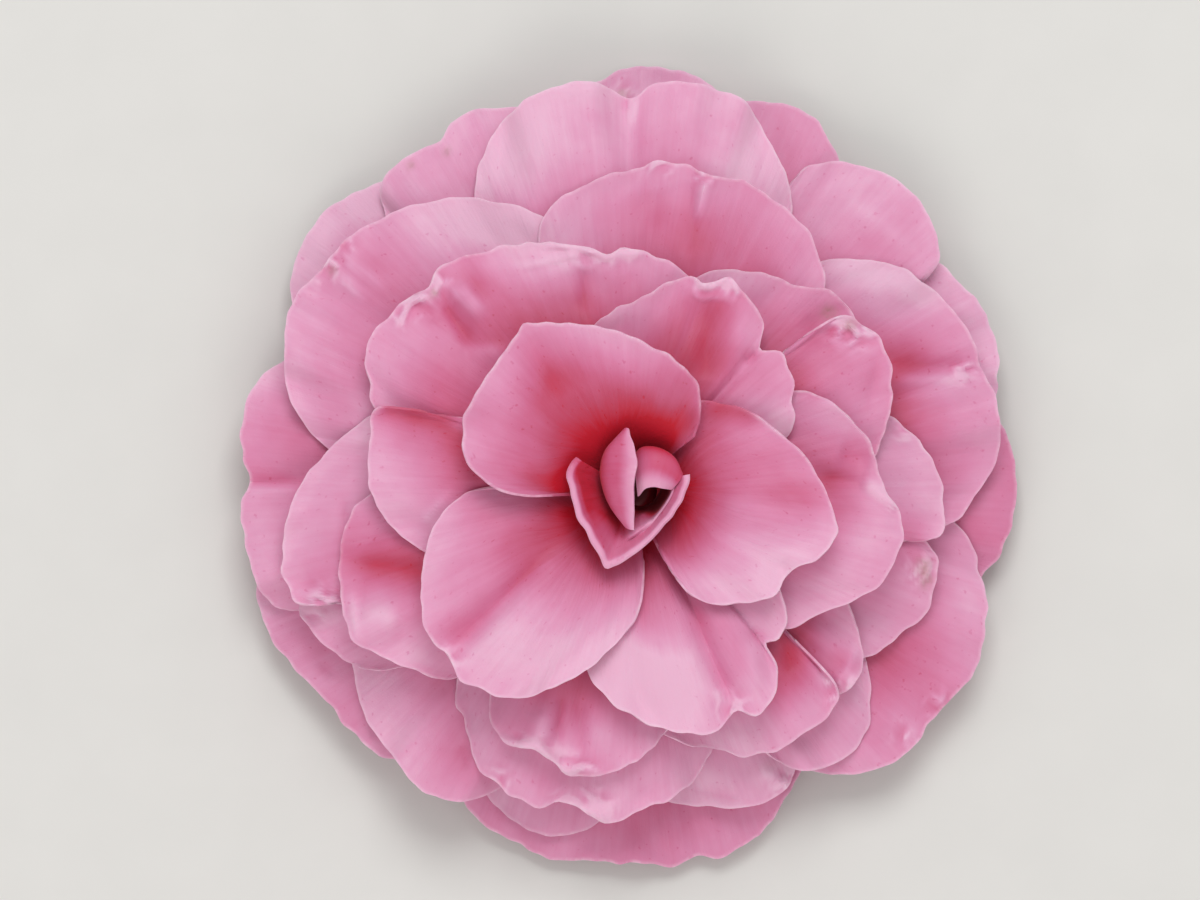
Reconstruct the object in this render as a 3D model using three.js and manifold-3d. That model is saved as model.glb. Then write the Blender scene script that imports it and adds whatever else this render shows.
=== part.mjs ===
// A fully double camellia bloom, picked just under the calyx and lying face up.
// Millimetres, +Z up along the axis of the bloom. The origin is the middle of the
// flat cut under the calyx, which the bloom rests on. +X is bearing 0 and +Y is 90.
import * as THREE from "three";
import Module from "manifold-3d";
import { mergeVertices } from "three/addons/utils/BufferGeometryUtils.js";

const wasm = await Module();
wasm.setup();

// ---- driving dimensions ----
const BLOOM_RADIUS = 50; // reach of the outermost petals
const LEVELS = 11; // level 0 is the outermost petal, level 11 the eye

const PETAL_THICKNESS = 0.66; // at the root
const MARGIN_THICKNESS = 0.6; // at the free edge
const CLAW_HALF_WIDTH = 1.5; // a petal narrows to this where it is rooted
const ROOT_GAP = 0.5; // from the receptacle to the middle of a petal's root

const RECEPTACLE_RADIUS = [6.5, 2.5]; // at the outermost and at the innermost root
const ROOT_HEIGHT = [6, 15.2]; // of the outermost and of the innermost root
const RISE = [5, 16]; // how far a petal climbs from its root, outermost and innermost
const BEND = [14, 7]; // the radius over which it turns from climbing to lying open
const DROOP = 9; // how far the outermost petal falls again by BLOOM_RADIUS

const STALK_RADIUS = 2.9;
const SEPALS = 5; // in each of two rows
const SEPAL_REACH = [12.5, 10]; // inner and outer row
const SEPAL_DROP = [1.2, 2.2]; // below the outermost petal, inner and outer row
const SEPAL_HALF_ANGLE = 41;
const SEPAL_THICKNESS = 0.9;
const SEPAL_ROUNDING = 0.5; // how far its corners are rounded back
const SEPAL_TAPER = 0.3;

const COLUMN_SPACING = 4.6; // along a petal's margin
const ROWS = 5; // from its root to its margin
const ROW_GROWTH = 1.4; // rows stand closer together near the root
const WAVES = 2; // along a petal's margin at the least, and up to 4
const WAVE_HEIGHT = [0.25, 0.5];
const WAVE_REACH = [0.6, 1]; // where waves begin and are full, as shares of the petal's length
const FOLD_REACH = [0.35, 0.9]; // the same for folds

const PINK = new THREE.MeshStandardMaterial({ color: 0xdd8fb4, roughness: 0.6, metalness: 0 });
const DEEP_PINK = new THREE.MeshStandardMaterial({ color: 0xb53a62, roughness: 0.6, metalness: 0 });
const GREEN = new THREE.MeshStandardMaterial({ color: 0x72803f, roughness: 0.7, metalness: 0 });

// ---- the petals ----
// Each margin is measured on the bloom as [bearing in degrees, radius in mm], from one
// side of the petal to the other. The first and last points lie under other petals.
// level: which petal lies over which.  cup: how far its sides stand up.
// lift: how far its free edge turns up, or down if negative.  root: the bearing of its root,
// where that isn't the middle of its margin.
// folds: creases that run in from the margin, as [bearing, depth, half width in degrees].
const INNER = [
  { level: 10.2, lift: 0.4, cup: -0.3, margin: [[40, 10.5], [46, 12.8], [52, 14.4], [57, 15.8],
    [68, 17], [82, 18.5], [94, 19.9], [104, 21.4], [113, 22.8], [123, 24.9], [130, 23.8], [147, 23],
    [156, 22.9], [163, 22.2], [170, 20.9], [175, 19], [180, 16.5], [183, 13.3], [184, 10]] },
  { level: 9.3, lift: 0.5, cup: 0, margin: [[-64, 7.5], [-63, 11.7], [-60, 15], [-55, 17.5],
    [-47, 19.6], [-40, 21.6], [-34, 22.8], [-27, 22.8], [-24, 23.5], [-19, 25.4], [-9, 26.4],
    [-3, 25.3], [5, 23.5], [13, 22.1], [19, 20.7], [30, 19], [42, 17], [52, 14.9], [60, 12],
    [66, 9]] },
  { level: 8.6, lift: 0.6, cup: 0.2, folds: [[221, -1.1, 5]], margin: [[184, 13], [187, 17],
    [190, 20.6], [195, 26.3], [201, 28.2], [207, 29.7], [212, 30.7], [218, 31.5], [222, 31],
    [228, 32.1], [233, 31.6], [239, 30.6], [244, 28.9], [250, 26.2], [257, 23.1], [264, 19.7],
    [272, 16.5], [277, 12.8], [281, 9]] },
  { level: 8.1, lift: 0.5, cup: 0, folds: [[48, -0.6, 4]], margin: [[7, 15], [12, 18.5], [18, 20.6],
    [20, 21.9], [29, 23.6], [37, 25.3], [43, 25.8], [47, 24.2], [51, 26.8], [57, 28.1], [65, 29.5],
    [70, 27.7], [73, 28.3], [77, 27.3], [84, 25.2], [93, 23.1], [104, 21], [110, 18], [114, 14]] },
  { level: 7.6, lift: 0.2, cup: 0.3, margin: [[148, 15], [154, 20], [158, 25], [160, 30],
    [162.5, 33.9], [169, 33.5], [175, 33.3], [180, 32.7], [186, 31.2], [191, 29.7], [197, 26.8],
    [203, 23], [208, 18]] },
  { level: 7.3, lift: 0.6, cup: 0.2, folds: [[295, -0.7, 4]], margin: [[246, 16], [251, 20.5],
    [257, 23.7], [262, 25.9], [269, 27.9], [277, 30.4], [284, 31.6], [289, 32.5], [295, 31.5],
    [299, 32.7], [303, 32.3], [307, 30.8], [310, 29], [312, 25.9], [316, 26.6], [320, 25.8],
    [325, 23.5], [330, 20], [334, 16]] },
  { level: 6.8, lift: 0, cup: -0.2, folds: [[140, -0.9, 5], [104, 0.6, 3]], margin: [[62, 18],
    [69, 24], [75, 28.1], [84, 29.8], [90, 30.6], [95, 30.1], [101, 31.3], [110, 33.2], [118, 34.8],
    [126, 36.4], [131, 37], [135, 36.2], [140, 37.3], [149, 37.8], [154, 37.2], [158, 35.8],
    [162, 34], [166, 29], [170, 23]] },
];

const MIDDLE = [
  { level: 6.5, lift: 0.5, cup: 0.2, folds: [[1, -0.7, 5]], margin: [[312, 19], [316, 24],
    [319, 26.7], [327, 28.6], [333, 31.1], [338, 33.4], [343, 34.4], [348, 34.9], [354, 34.6],
    [359, 32.6], [364, 31.6], [372, 30.8], [378, 29.2], [384, 27.7], [390, 25], [396, 20]] },
  { level: 5.2, lift: -0.1, cup: 0, folds: [[250, 0.7, 3], [257, -0.7, 3]], margin: [[231, 27],
    [236, 32], [242, 35.2], [247, 35.5], [251, 35], [256, 36.3], [262, 36.4], [266, 36.2],
    [272, 33.9], [278, 31.1], [283, 28], [288, 23]] },
  { level: 5.7, root: 14, lift: 0.3, cup: 0, folds: [[37, -0.7, 4]], margin: [[0, 23], [4, 28],
    [8, 31.4], [11, 32.3], [16, 34], [21, 35.6], [27, 36.8], [31, 36.9], [35, 36], [39, 35.1],
    [41, 31], [42, 26], [43, 21]] },
  { level: 5.8, lift: 0.2, cup: 0.2, folds: [[203, -1, 4]], margin: [[173, 24], [177, 29], [181, 33],
    [184, 34.9], [188, 36.4], [194, 38], [199, 38.8], [204, 39.6], [209, 39.7], [213, 37.9],
    [217, 36.6], [223, 34.7], [227, 32.5], [231, 28], [234, 23]] },
  { level: 4.5, root: 284, lift: 0.3, cup: 0, margin: [[268, 22], [273, 28], [278, 31.1],
    [283, 33.2], [289, 34.8], [293, 36.6], [298, 37.6], [305, 37.7], [310, 38.2], [314, 37.6],
    [316.5, 36], [317.2, 33], [317.6, 29], [318, 24]] },
  { level: 5, root: 61, lift: 0.3, cup: 0, margin: [[20, 24], [26, 30.5], [32, 34.6], [39, 36],
    [45, 35.5], [50, 33.7], [59, 32], [68, 30], [74, 27.6], [80, 24], [86, 19]] },
  { level: 3.8, root: 14, lift: 0.3, cup: 0.1, margin: [[348, 28], [349, 33], [350, 37], [352, 40],
    [356, 40], [360, 39.5], [365, 38.7], [369, 37.2], [374, 35.2], [378, 32.5], [382, 28],
    [386, 22]] },
  { level: 3.6, lift: 0.2, cup: 0.2, folds: [[258, -0.7, 3]], margin: [[221, 24], [225, 29],
    [229, 33.6], [234, 36.2], [238, 38.1], [242, 40.2], [246, 40.8], [250, 41.6], [255, 41.5],
    [259, 40.3], [263, 41.4], [266, 42.1], [272, 40.8], [277, 39.6], [282, 37.5], [286, 35.5],
    [291, 31], [296, 25]] },
  { level: 3.85, root: 321, lift: 0.3, cup: 0, margin: [[306, 26], [310, 32], [314, 36.2],
    [318, 37.5], [323, 36.8], [327, 34.8], [332, 31.4], [337, 27.5], [341, 22]] },
  { level: 4.2, lift: 0.2, cup: 0.1, margin: [[154, 23], [158, 29], [163, 33.6], [167, 35.8],
    [172, 38.3], [178, 41.2], [183, 43.1], [188, 44.3], [194, 45.1], [199, 44], [201, 40.5],
    [203, 36], [205, 29]] },
  { level: 4.2, lift: 0.4, cup: -0.1, folds: [[76, 0.9, 3]], margin: [[38, 25], [42, 31], [47, 36.3],
    [50, 37.4], [53, 38.9], [57, 40.2], [61, 40.7], [66, 41.2], [70, 41.6], [77, 41.2], [80, 41.8],
    [86, 41.6], [88, 40.8], [94, 40], [99, 38.9], [104, 37.8], [108, 35.8], [112, 31.5], [116, 25]] },
  { level: 3.15, root: 349, lift: -0.2, cup: 0, folds: [[345, 0.5, 3]], margin: [[314, 26],
    [318, 31.5], [324, 36.4], [332, 38.8], [337, 40.6], [342, 40.4], [347, 40], [350, 38.2],
    [354, 34], [358, 27]] },
];

const OUTER = [
  { level: 3.5, lift: 0, cup: -0.1, folds: [[147, -0.7, 4]], margin: [[94, 24], [100, 31],
    [108, 36.4], [111, 38.4], [116, 40.8], [120, 42.8], [125, 44.4], [129, 45.9], [136, 47.3],
    [140, 48.1], [145, 48.1], [151, 49], [158, 47.2], [163, 45.4], [167, 43.2], [171, 39.9],
    [175, 34.5], [179, 26]] },
  { level: 2.3, lift: 0.4, cup: 0.1, folds: [[19, -1.2, 4], [23, 0.7, 3]], margin: [[348, 28],
    [351, 36], [355, 41.7], [359, 43.7], [362, 45.6], [366, 46.9], [371, 47.7], [375, 47.7],
    [379, 47.2], [385, 47.3], [389, 46.9], [394, 45.9], [399, 44.6], [404, 41.9], [410, 37.8],
    [414, 32], [418, 25]] },
  { level: 3.2, lift: 0, cup: 0, margin: [[190, 33], [195, 40.5], [199, 44.2], [203, 44.3],
    [206, 43.6], [211, 42], [215, 39.8], [219, 35], [222, 28]] },
  { level: 2.95, lift: 0.3, cup: -0.2, folds: [[90, -0.9, 3]], margin: [[54, 28], [57, 36], [60, 41],
    [63, 44], [67, 46.8], [71, 49.4], [74, 51.5], [78, 52], [82, 52.2], [87, 51.3], [90, 49.6],
    [93, 51], [96, 51.9], [101, 51.9], [105, 51.1], [109, 49.4], [113, 46.9], [116, 44.3],
    [119, 40.5], [121, 35], [123, 27]] },
  { level: 2.5, root: 309, lift: 0.2, cup: 0, margin: [[292, 27], [296, 35.5], [301, 41.4],
    [305, 42.9], [309, 43.5], [313, 43.2], [317, 41.6], [320, 39.7], [324, 37], [329, 32],
    [333, 25]] },
  { level: 2.5, lift: -0.2, cup: 0.1, margin: [[200, 32], [206, 39], [212, 41.5], [216, 42.8],
    [220, 44], [225, 44.8], [229, 45.3], [233, 46.1], [237, 46], [241, 45.1], [245, 42.5], [249, 38],
    [252, 30]] },
  { level: 1.65, root: 52, lift: 0.3, cup: 0, margin: [[31, 28], [33, 38], [35, 44.5], [37, 49],
    [42, 51.3], [46, 51.9], [50, 51.7], [55, 50.3], [59, 48.5], [61.5, 46.3], [62.4, 43], [62.8, 37],
    [63, 28]] },
  { level: 1.9, root: 281, lift: 0.2, cup: 0, margin: [[264, 27], [269, 34.5], [275, 38.8], [282, 41],
    [289, 42.6], [294, 43.1], [298, 42.5], [302, 40], [306, 35], [310, 27]] },
  { level: 1.9, lift: 0, cup: 0.2, folds: [[178.5, -0.9, 3]], margin: [[148, 31], [153, 41],
    [158, 45.8], [163, 48.8], [167, 50], [171, 49.9], [175, 49.2], [178.5, 48.1], [182, 49.4],
    [186, 49.3], [190, 48.9], [195, 48.7], [198, 47.5], [200, 44.5], [203, 38], [206, 29]] },
  { level: 1.6, lift: 0.2, cup: 0, margin: [[92, 32], [97, 43], [102, 48.8], [107, 50.6], [110, 51.6],
    [113, 52.2], [116, 51.5], [119, 50.4], [122, 50.6], [126, 50.8], [129, 49.9], [131.5, 47],
    [134, 42], [138, 32]] },
  { level: 1.2, lift: 0.2, cup: 0, margin: [[294, 29], [298, 37.5], [303, 42.6], [309, 46.2],
    [314, 47.9], [318, 48.4], [324, 48.2], [329, 48.8], [332, 49.3], [337, 48.7], [343, 47.3],
    [347, 45.4], [352, 43.3], [356, 39.5], [360, 31]] },
  { level: 1, root: 16, lift: 0.2, cup: 0, margin: [[2, 30], [7, 41], [13, 47.2], [19, 49.4],
    [24, 50.2], [28, 50.1], [32, 49.3], [36, 48.8], [41, 46.5], [45, 41], [47, 31]] },
  { level: 1.4, lift: 0, cup: 0, margin: [[231, 29], [236, 37.5], [242, 41.6], [246, 43.1],
    [250, 44.4], [255, 45.1], [260, 44.3], [264, 42.6], [270, 38], [275, 29]] },
  { level: 0.9, root: 74, lift: 0, cup: 0, margin: [[51, 31], [53, 42], [56, 48.3], [60, 50.7],
    [63, 52.4], [67, 52.8], [71, 52.2], [75, 50.7], [80, 47.5], [85, 42], [89, 32]] },
  { level: 0.8, lift: 0, cup: 0.1, margin: [[182, 30], [187, 42.5], [191, 47], [195, 48.9],
    [199, 49.4], [204, 49], [209, 47.9], [215, 46.9], [221, 46.7], [226, 46.3], [231, 44.2],
    [237, 40], [243, 31]] },
  { level: 0.8, lift: 0, cup: 0, margin: [[116, 32], [121, 44], [126, 49], [131, 50.7], [136, 52.2],
    [140, 52.4], [145, 51.5], [149, 50.1], [153, 47.7], [158, 42.5], [163, 31]] },
  { level: 0.5, root: 342, lift: 0.2, cup: 0, margin: [[332, 30], [337, 40.5], [342, 44.6],
    [347, 46.3], [351, 47.9], [356, 48.7], [361, 49.1], [366, 48.6], [371, 47.2], [377, 43],
    [383, 32]] },
  { level: 0.2, root: 102, lift: 0.3, cup: 0, margin: [[68, 33], [72, 45], [76, 50.6], [80, 52.8],
    [84, 53.8], [89, 53.6], [93, 52.6], [98, 50.5], [103, 46.5], [108, 34]] },
  { level: 0.1, lift: 0.6, cup: 0, folds: [[280, -0.5, 2]], margin: [[228, 30], [234, 40.5],
    [242, 44.8], [249, 46.7], [255, 47.5], [259, 47.7], [265, 47.2], [272, 47.4], [277, 48],
    [280, 47.2], [284, 48.1], [290, 47], [294, 45], [299, 42.8], [305, 39.5], [311, 30]] },
];

// ---- shared surfaces ----
const RADIANS = Math.PI / 180;
const mix = THREE.MathUtils.lerp;
const ease = (value, from, to) => THREE.MathUtils.smoothstep(value, from, to);
const polar = (bearing, radius, height = 0) =>
  new THREE.Vector3(radius * Math.cos(bearing * RADIANS), radius * Math.sin(bearing * RADIANS), height);

// A draw between 0 and 1 that is the same on every run.
const draw = (seed) => Math.abs(Math.sin(seed * 12.9898) * 43758.5453) % 1;

const rootRadius = (level) => mix(...RECEPTACLE_RADIUS, level / LEVELS);

// The bowl that a petal of one level lies on. Every bowl is nested in the one below it.
function bowlHeight(radius, level) {
  const inward = level / LEVELS;
  const climb = mix(...RISE, Math.max(inward, 0) ** 0.8);
  const bend = mix(...BEND, inward);
  const opened = 1 - Math.exp(-(radius - rootRadius(level)) / bend);
  const droop = DROOP * (1 - inward) ** 2 * (radius / BLOOM_RADIUS) ** 2;
  return mix(...ROOT_HEIGHT, inward) + climb * opened - droop;
}

// Bends a flat grid, 2 wide and 1 high, by a function of (across 0..1, outward 0..1).
function bentSheet(columns, rows, place) {
  const sheet = new THREE.PlaneGeometry(2, 1, columns, rows);
  const points = sheet.getAttribute("position");
  for (let i = 0; i < points.count; i++) {
    const across = (1 - points.getX(i)) / 2;
    const outward = points.getY(i) + 0.5;
    points.setXYZ(i, ...place(across, outward).toArray());
  }
  sheet.computeVertexNormals();
  return sheet;
}

// Closes a sheet into a solid: the same triangles on both faces, joined round the rim.
function thicken(sheet, columns, rows, rootThickness, marginThickness) {
  const points = sheet.getAttribute("position");
  const normals = sheet.getAttribute("normal");
  const count = points.count;
  const corners = [];
  for (const side of [1, -1])
    for (let i = 0; i < count; i++) {
      const outward = 1 - Math.floor(i / (columns + 1)) / rows;
      const half = mix(rootThickness, marginThickness, outward) / 2;
      const point = new THREE.Vector3().fromBufferAttribute(points, i);
      const normal = new THREE.Vector3().fromBufferAttribute(normals, i);
      corners.push(...point.addScaledVector(normal, side * half).toArray());
    }

  const upper = [...sheet.index.array];
  const lower = [];
  for (let i = 0; i < upper.length; i += 3) {
    const [a, b, c] = upper.slice(i, i + 3);
    lower.push(a + count, c + count, b + count);
  }

  const rim = [];
  for (let i = 0; i < columns; i++) rim.push(i);
  for (let j = 0; j < rows; j++) rim.push(j * (columns + 1) + columns);
  for (let i = columns; i > 0; i--) rim.push(rows * (columns + 1) + i);
  for (let j = rows; j > 0; j--) rim.push(j * (columns + 1));
  const wall = [];
  rim.forEach((a, i) => {
    const b = rim[(i + 1) % rim.length];
    wall.push(a, b, b + count, a, b + count, a + count);
  });

  const solid = new THREE.BufferGeometry();
  solid.setAttribute("position", new THREE.Float32BufferAttribute(corners, 3));
  solid.setIndex([...upper, ...lower, ...wall]);
  solid.computeVertexNormals();
  return solid;
}

// ---- a petal: a claw at the root that widens to the measured margin ----
function petalGeometry(petal, seed) {
  const { level, lift, cup, margin, folds = [] } = petal;
  const edge = new THREE.CatmullRomCurve3(margin.map(([b, r]) => polar(b, r)), false, "centripetal");
  const start = rootRadius(level) + ROOT_GAP;
  const centre = petal.root ?? (margin[0][0] + margin.at(-1)[0]) / 2;
  const halfSpan = (margin.at(-1)[0] - margin[0][0]) / 2;
  const clawShare = CLAW_HALF_WIDTH / start / RADIANS / halfSpan;
  const waves = Math.floor(WAVES * (1 + 1.5 * draw(seed)));
  const phase = 2 * Math.PI * draw(seed + 0.5);
  const waveHeight = mix(...WAVE_HEIGHT, draw(seed + 0.25));
  const columns = THREE.MathUtils.clamp(Math.round(edge.getLength() / COLUMN_SPACING), 8, 16);

  const place = (across, row) => {
    const outward = row ** ROW_GROWTH;
    const rim = edge.getPointAt(across);
    const rimBearing = Math.atan2(rim.y, rim.x) / RADIANS;
    const fromCentre = THREE.MathUtils.euclideanModulo(rimBearing - centre + 180, 360) - 180;
    const width = mix(clawShare, 1, ease(outward, 0, 0.5));
    const bearing = centre + fromCentre * width;
    const radius = mix(start, rim.length(), outward);
    const side = 2 * across - 1;
    let height = bowlHeight(radius, level);
    height += lift * outward ** 3;
    height += cup * (side ** 2 - 0.3) * outward;
    height += waveHeight * Math.sin(Math.PI * waves * side + phase) * ease(outward, ...WAVE_REACH);
    for (const [at, depth, spread] of folds) {
      const aside = (THREE.MathUtils.euclideanModulo(bearing - at + 180, 360) - 180) / spread;
      height += depth * Math.exp(-(aside ** 2)) * ease(outward, ...FOLD_REACH);
    }
    return polar(bearing, radius, height);
  };
  const sheet = bentSheet(columns, ROWS, place);
  return thicken(sheet, columns, ROWS, PETAL_THICKNESS, MARGIN_THICKNESS);
}

// ---- the eye: three small petals that have not opened ----
const splineThrough = (points) => new THREE.CatmullRomCurve3(points.map((p) => new THREE.Vector3(...p)));

// The cup is folded along its keel at bearing 254. Steep walls end in a flat rim.
const CUP_MARGIN = [[152, 8.9], [163, 8.2], [185, 7.4], [215, 7.6], [238, 8.6], [254, 10.1], [270, 8.2],
  [295, 6.5], [333, 6.3], [360, 7.2], [375, 8]];
const CUP_ROOT_RADIUS = 2.8;
const CUP_PROFILE = [[0, 15.8], [0.26, 17.8], [0.5, 20.8], [0.68, 23.4], [0.8, 24.7], [1, 24.9]];
const CUP_TIP_DROP = 1.2; // at its two tips
const CUP_OPENS = 0.55; // the share of its length where it has its whole width

function cupGeometry() {
  const columns = 16;
  const rows = 7;
  const edge = splineThrough(CUP_MARGIN.map(([b, r]) => polar(b, r).toArray()));
  const profile = new THREE.SplineCurve(CUP_PROFILE.map(([share, z]) => new THREE.Vector2(share, z)));
  const middle = (CUP_MARGIN[0][0] + CUP_MARGIN.at(-1)[0]) / 2;
  const halfSpan = CUP_MARGIN.at(-1)[0] - middle;
  const clawShare = CLAW_HALF_WIDTH / CUP_ROOT_RADIUS / RADIANS / halfSpan;
  const place = (across, row) => {
    const rim = edge.getPointAt(across);
    const { x: share, y: height } = profile.getPoint(row);
    const rimBearing = Math.atan2(rim.y, rim.x) / RADIANS;
    const fromMiddle = THREE.MathUtils.euclideanModulo(rimBearing - middle + 180, 360) - 180;
    const width = mix(clawShare, 1, ease(row, 0, CUP_OPENS));
    const drop = CUP_TIP_DROP * row * (2 * across - 1) ** 4;
    return polar(middle + fromMiddle * width, mix(CUP_ROOT_RADIUS, rim.length(), share), height - drop);
  };
  return thicken(bentSheet(columns, rows, place), columns, rows, PETAL_THICKNESS, MARGIN_THICKNESS);
}

// A bud petal bends from its root out to a belly and back to its margin, lines of [x, y, z].
function budPetalGeometry({ root, belly, margin }) {
  const columns = 9;
  const rows = 8;
  const lines = [root, belly, margin].map(splineThrough);
  const place = (across, row) => {
    const [foot, middle, end] = lines.map((line) => line.getPoint(across));
    const pull = middle.multiplyScalar(2).addScaledVector(foot, -0.5).addScaledVector(end, -0.5);
    return new THREE.QuadraticBezierCurve3(foot, pull, end).getPoint(row);
  };
  return thicken(bentSheet(columns, rows, place), columns, rows, PETAL_THICKNESS, MARGIN_THICKNESS);
}

// The leaf stands on edge beside the hole, its flank to -X.
const LEAF = {
  root: [[-0.7, 1, 15.9], [-0.7, -0.9, 15.9]],
  belly: [[-0.9, 6.6, 22.7], [-3, 4.9, 22.6], [-3.6, 2.6, 22.4], [-3.3, 0.3, 22.3], [-2.3, -2.2, 22.6],
    [-0.9, -3.9, 22.9]],
  margin: [[-0.2, 7.6, 24.6], [0.6, 5.2, 26.2], [0.8, 2.9, 26.7], [0.45, 0.5, 26.7], [0.5, -1.8, 26.4],
    [0.5, -5, 25.4]],
};

// The hood climbs on the far side of the hole and bends back over it.
const HOOD = {
  root: [[2, 1.1, 16.4], [1.3, 2, 16.4]],
  belly: [[5.7, 3.1, 23.4], [4.6, 4.7, 23.6], [3.2, 5.3, 23.6], [1.9, 5.1, 23.4]],
  margin: [[5, 0, 24.7], [3.6, 0.8, 25.2], [2.5, 1.2, 25.3], [1.6, 1.7, 25.1]],
};

// ---- the calyx: stalk end, receptacle and two rows of sepals, grown as one ----
function solidOf(geometry) {
  const bare = geometry.clone();
  bare.deleteAttribute("normal");
  bare.deleteAttribute("uv");
  const merged = mergeVertices(bare, 1e-4);
  return new wasm.Manifold(
    new wasm.Mesh({
      numProp: 3,
      vertProperties: merged.getAttribute("position").array,
      triVerts: new Uint32Array(merged.index.array),
    }),
  );
}

function geometryOf(solid) {
  const mesh = solid.getMesh();
  const geometry = new THREE.BufferGeometry();
  geometry.setAttribute("position", new THREE.BufferAttribute(mesh.vertProperties, 3));
  geometry.setIndex(new THREE.BufferAttribute(mesh.triVerts, 1));
  geometry.computeVertexNormals();
  return geometry;
}

function sepalGeometry(bearing, reach, drop) {
  const columns = 6;
  const rows = 3;
  const place = (across, row) => {
    const side = 2 * across - 1;
    const tip = mix(STALK_RADIUS, reach, row);
    const radius = tip * Math.sqrt(1 - SEPAL_ROUNDING * side ** 2 * row);
    const turn = SEPAL_HALF_ANGLE * side * Math.sqrt(1 - SEPAL_TAPER * row);
    return polar(bearing + turn, radius, bowlHeight(radius, 0) - drop);
  };
  return thicken(bentSheet(columns, rows, place), columns, rows, SEPAL_THICKNESS, SEPAL_THICKNESS);
}

function calyxGeometry() {
  const [wide, narrow] = RECEPTACLE_RADIUS;
  const [low, high] = ROOT_HEIGHT;
  const profile = [[0, 0], [STALK_RADIUS, 0], [STALK_RADIUS - 0.2, 1.6], [STALK_RADIUS + 1, 2.8],
    [wide - 0.6, low - 2.6], [wide, low - 1], [narrow, high], [narrow - 1.1, high + 0.2],
    [0, high + 0.3]];
  const lathe = new THREE.LatheGeometry(profile.map(([r, z]) => new THREE.Vector2(r, z)), 20);
  let calyx = solidOf(lathe.rotateX(Math.PI / 2));
  SEPAL_REACH.forEach((reach, row) => {
    for (let i = 0; i < SEPALS; i++) {
      const bearing = (360 / SEPALS) * (i + row / 2);
      calyx = calyx.add(solidOf(sepalGeometry(bearing, reach, SEPAL_DROP[row])));
    }
  });
  return geometryOf(calyx);
}

// ---- the bloom ----
const bloom = new THREE.Group();

function add(name, geometry, material, group) {
  const mesh = new THREE.Mesh(geometry, material);
  mesh.name = name;
  group.add(mesh);
}

const whorls = new THREE.Group();
let seed = 1;
for (const [whorl, petals] of Object.entries({ inner: INNER, middle: MIDDLE, outer: OUTER }))
  petals.forEach((petal, i) => {
    add(`${whorl}_petal_${i + 1}`, petalGeometry(petal, seed), PINK, whorls);
    seed += 1;
  });

const eye = new THREE.Group();
add("eye_petal_cup", cupGeometry(), DEEP_PINK, eye);
add("eye_petal_leaf", budPetalGeometry(LEAF), DEEP_PINK, eye);
add("eye_petal_hood", budPetalGeometry(HOOD), DEEP_PINK, eye);

add("calyx", calyxGeometry(), GREEN, bloom);
bloom.add(whorls, eye);

export default bloom;
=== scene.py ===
import math
from bisect import bisect_left

import bmesh
import bpy
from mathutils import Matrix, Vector, noise
from mathutils.bvhtree import BVHTree


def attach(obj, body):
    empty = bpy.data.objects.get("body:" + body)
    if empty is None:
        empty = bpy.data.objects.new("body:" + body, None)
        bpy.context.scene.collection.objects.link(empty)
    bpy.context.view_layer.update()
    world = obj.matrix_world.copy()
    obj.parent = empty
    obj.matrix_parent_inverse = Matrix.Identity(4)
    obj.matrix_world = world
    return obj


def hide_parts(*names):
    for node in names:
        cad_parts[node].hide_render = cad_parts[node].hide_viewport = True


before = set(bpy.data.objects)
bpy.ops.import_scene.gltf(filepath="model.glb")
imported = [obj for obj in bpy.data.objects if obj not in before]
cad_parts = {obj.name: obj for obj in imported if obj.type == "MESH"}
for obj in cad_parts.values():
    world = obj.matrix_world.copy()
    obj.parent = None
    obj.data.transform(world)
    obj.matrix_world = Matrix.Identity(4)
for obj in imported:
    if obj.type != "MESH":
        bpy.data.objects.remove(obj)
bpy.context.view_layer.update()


# ---- Calyx: the stalk end, the receptacle and the sepals ----
# A short green stalk, cut flat, swells into the fleshy cone that every petal grows from.
# Two rows of leathery sepals spread under the petals. All of it grew as one piece.

MM = 0.001
BLOOM_RADIUS = 50  # reach of the outermost petals, mm
LEVELS = 11  # level 0 is the outermost petal, level 11 the eye
RECEPTACLE_RADIUS = (6.5, 2.5)  # at the outermost and at the innermost root
ROOT_HEIGHT = (6, 15.2)  # of the outermost and of the innermost root
RISE = (5, 16)  # how far a petal climbs from its root, outermost and innermost
BEND = (14, 7)  # the radius over which it turns from climbing to lying open
DROOP = 9  # how far the outermost petal falls again by BLOOM_RADIUS
STALK_RADIUS = 2.9
SEPALS = 5  # in each of two rows
SEPAL_ROWS = ((12.5, 1.2), (10, 2.2))  # reach, and drop below the outermost petal
SEPAL_HALF_ANGLE = 41
SEPAL_THICKNESS = 0.9
SEPAL_KEEL = (0.35, 0.15)  # how far a midrib stands out, and its width as a share of the sepal's
SKIN_VOXEL = 0.3  # the grid on which sepals, cone and stalk become one skin
CUT_ZONE = 0.45  # what lies lower than this in the stalk belongs to its flat cut


def mix(low, high, share):
    return low + (high - low) * share


def ease(value, start, end):
    share = min(max((value - start) / (end - start), 0), 1)
    return share * share * (3 - 2 * share)


def polar(bearing, radius, height=0):
    turn = math.radians(bearing)
    return Vector((radius * math.cos(turn), radius * math.sin(turn), height))


def root_radius(level):
    return mix(*RECEPTACLE_RADIUS, level / LEVELS)


def bowl_height(radius, level):
    """The bowl that a petal of one level lies on. Every bowl is nested in the one below it."""
    inward = level / LEVELS
    climb = mix(*RISE, max(inward, 0) ** 0.8)
    opened = 1 - math.exp(-(radius - root_radius(level)) / mix(*BEND, inward))
    droop = DROOP * (1 - inward) ** 2 * (radius / BLOOM_RADIUS) ** 2
    return mix(*ROOT_HEIGHT, inward) + climb * opened - droop


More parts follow.
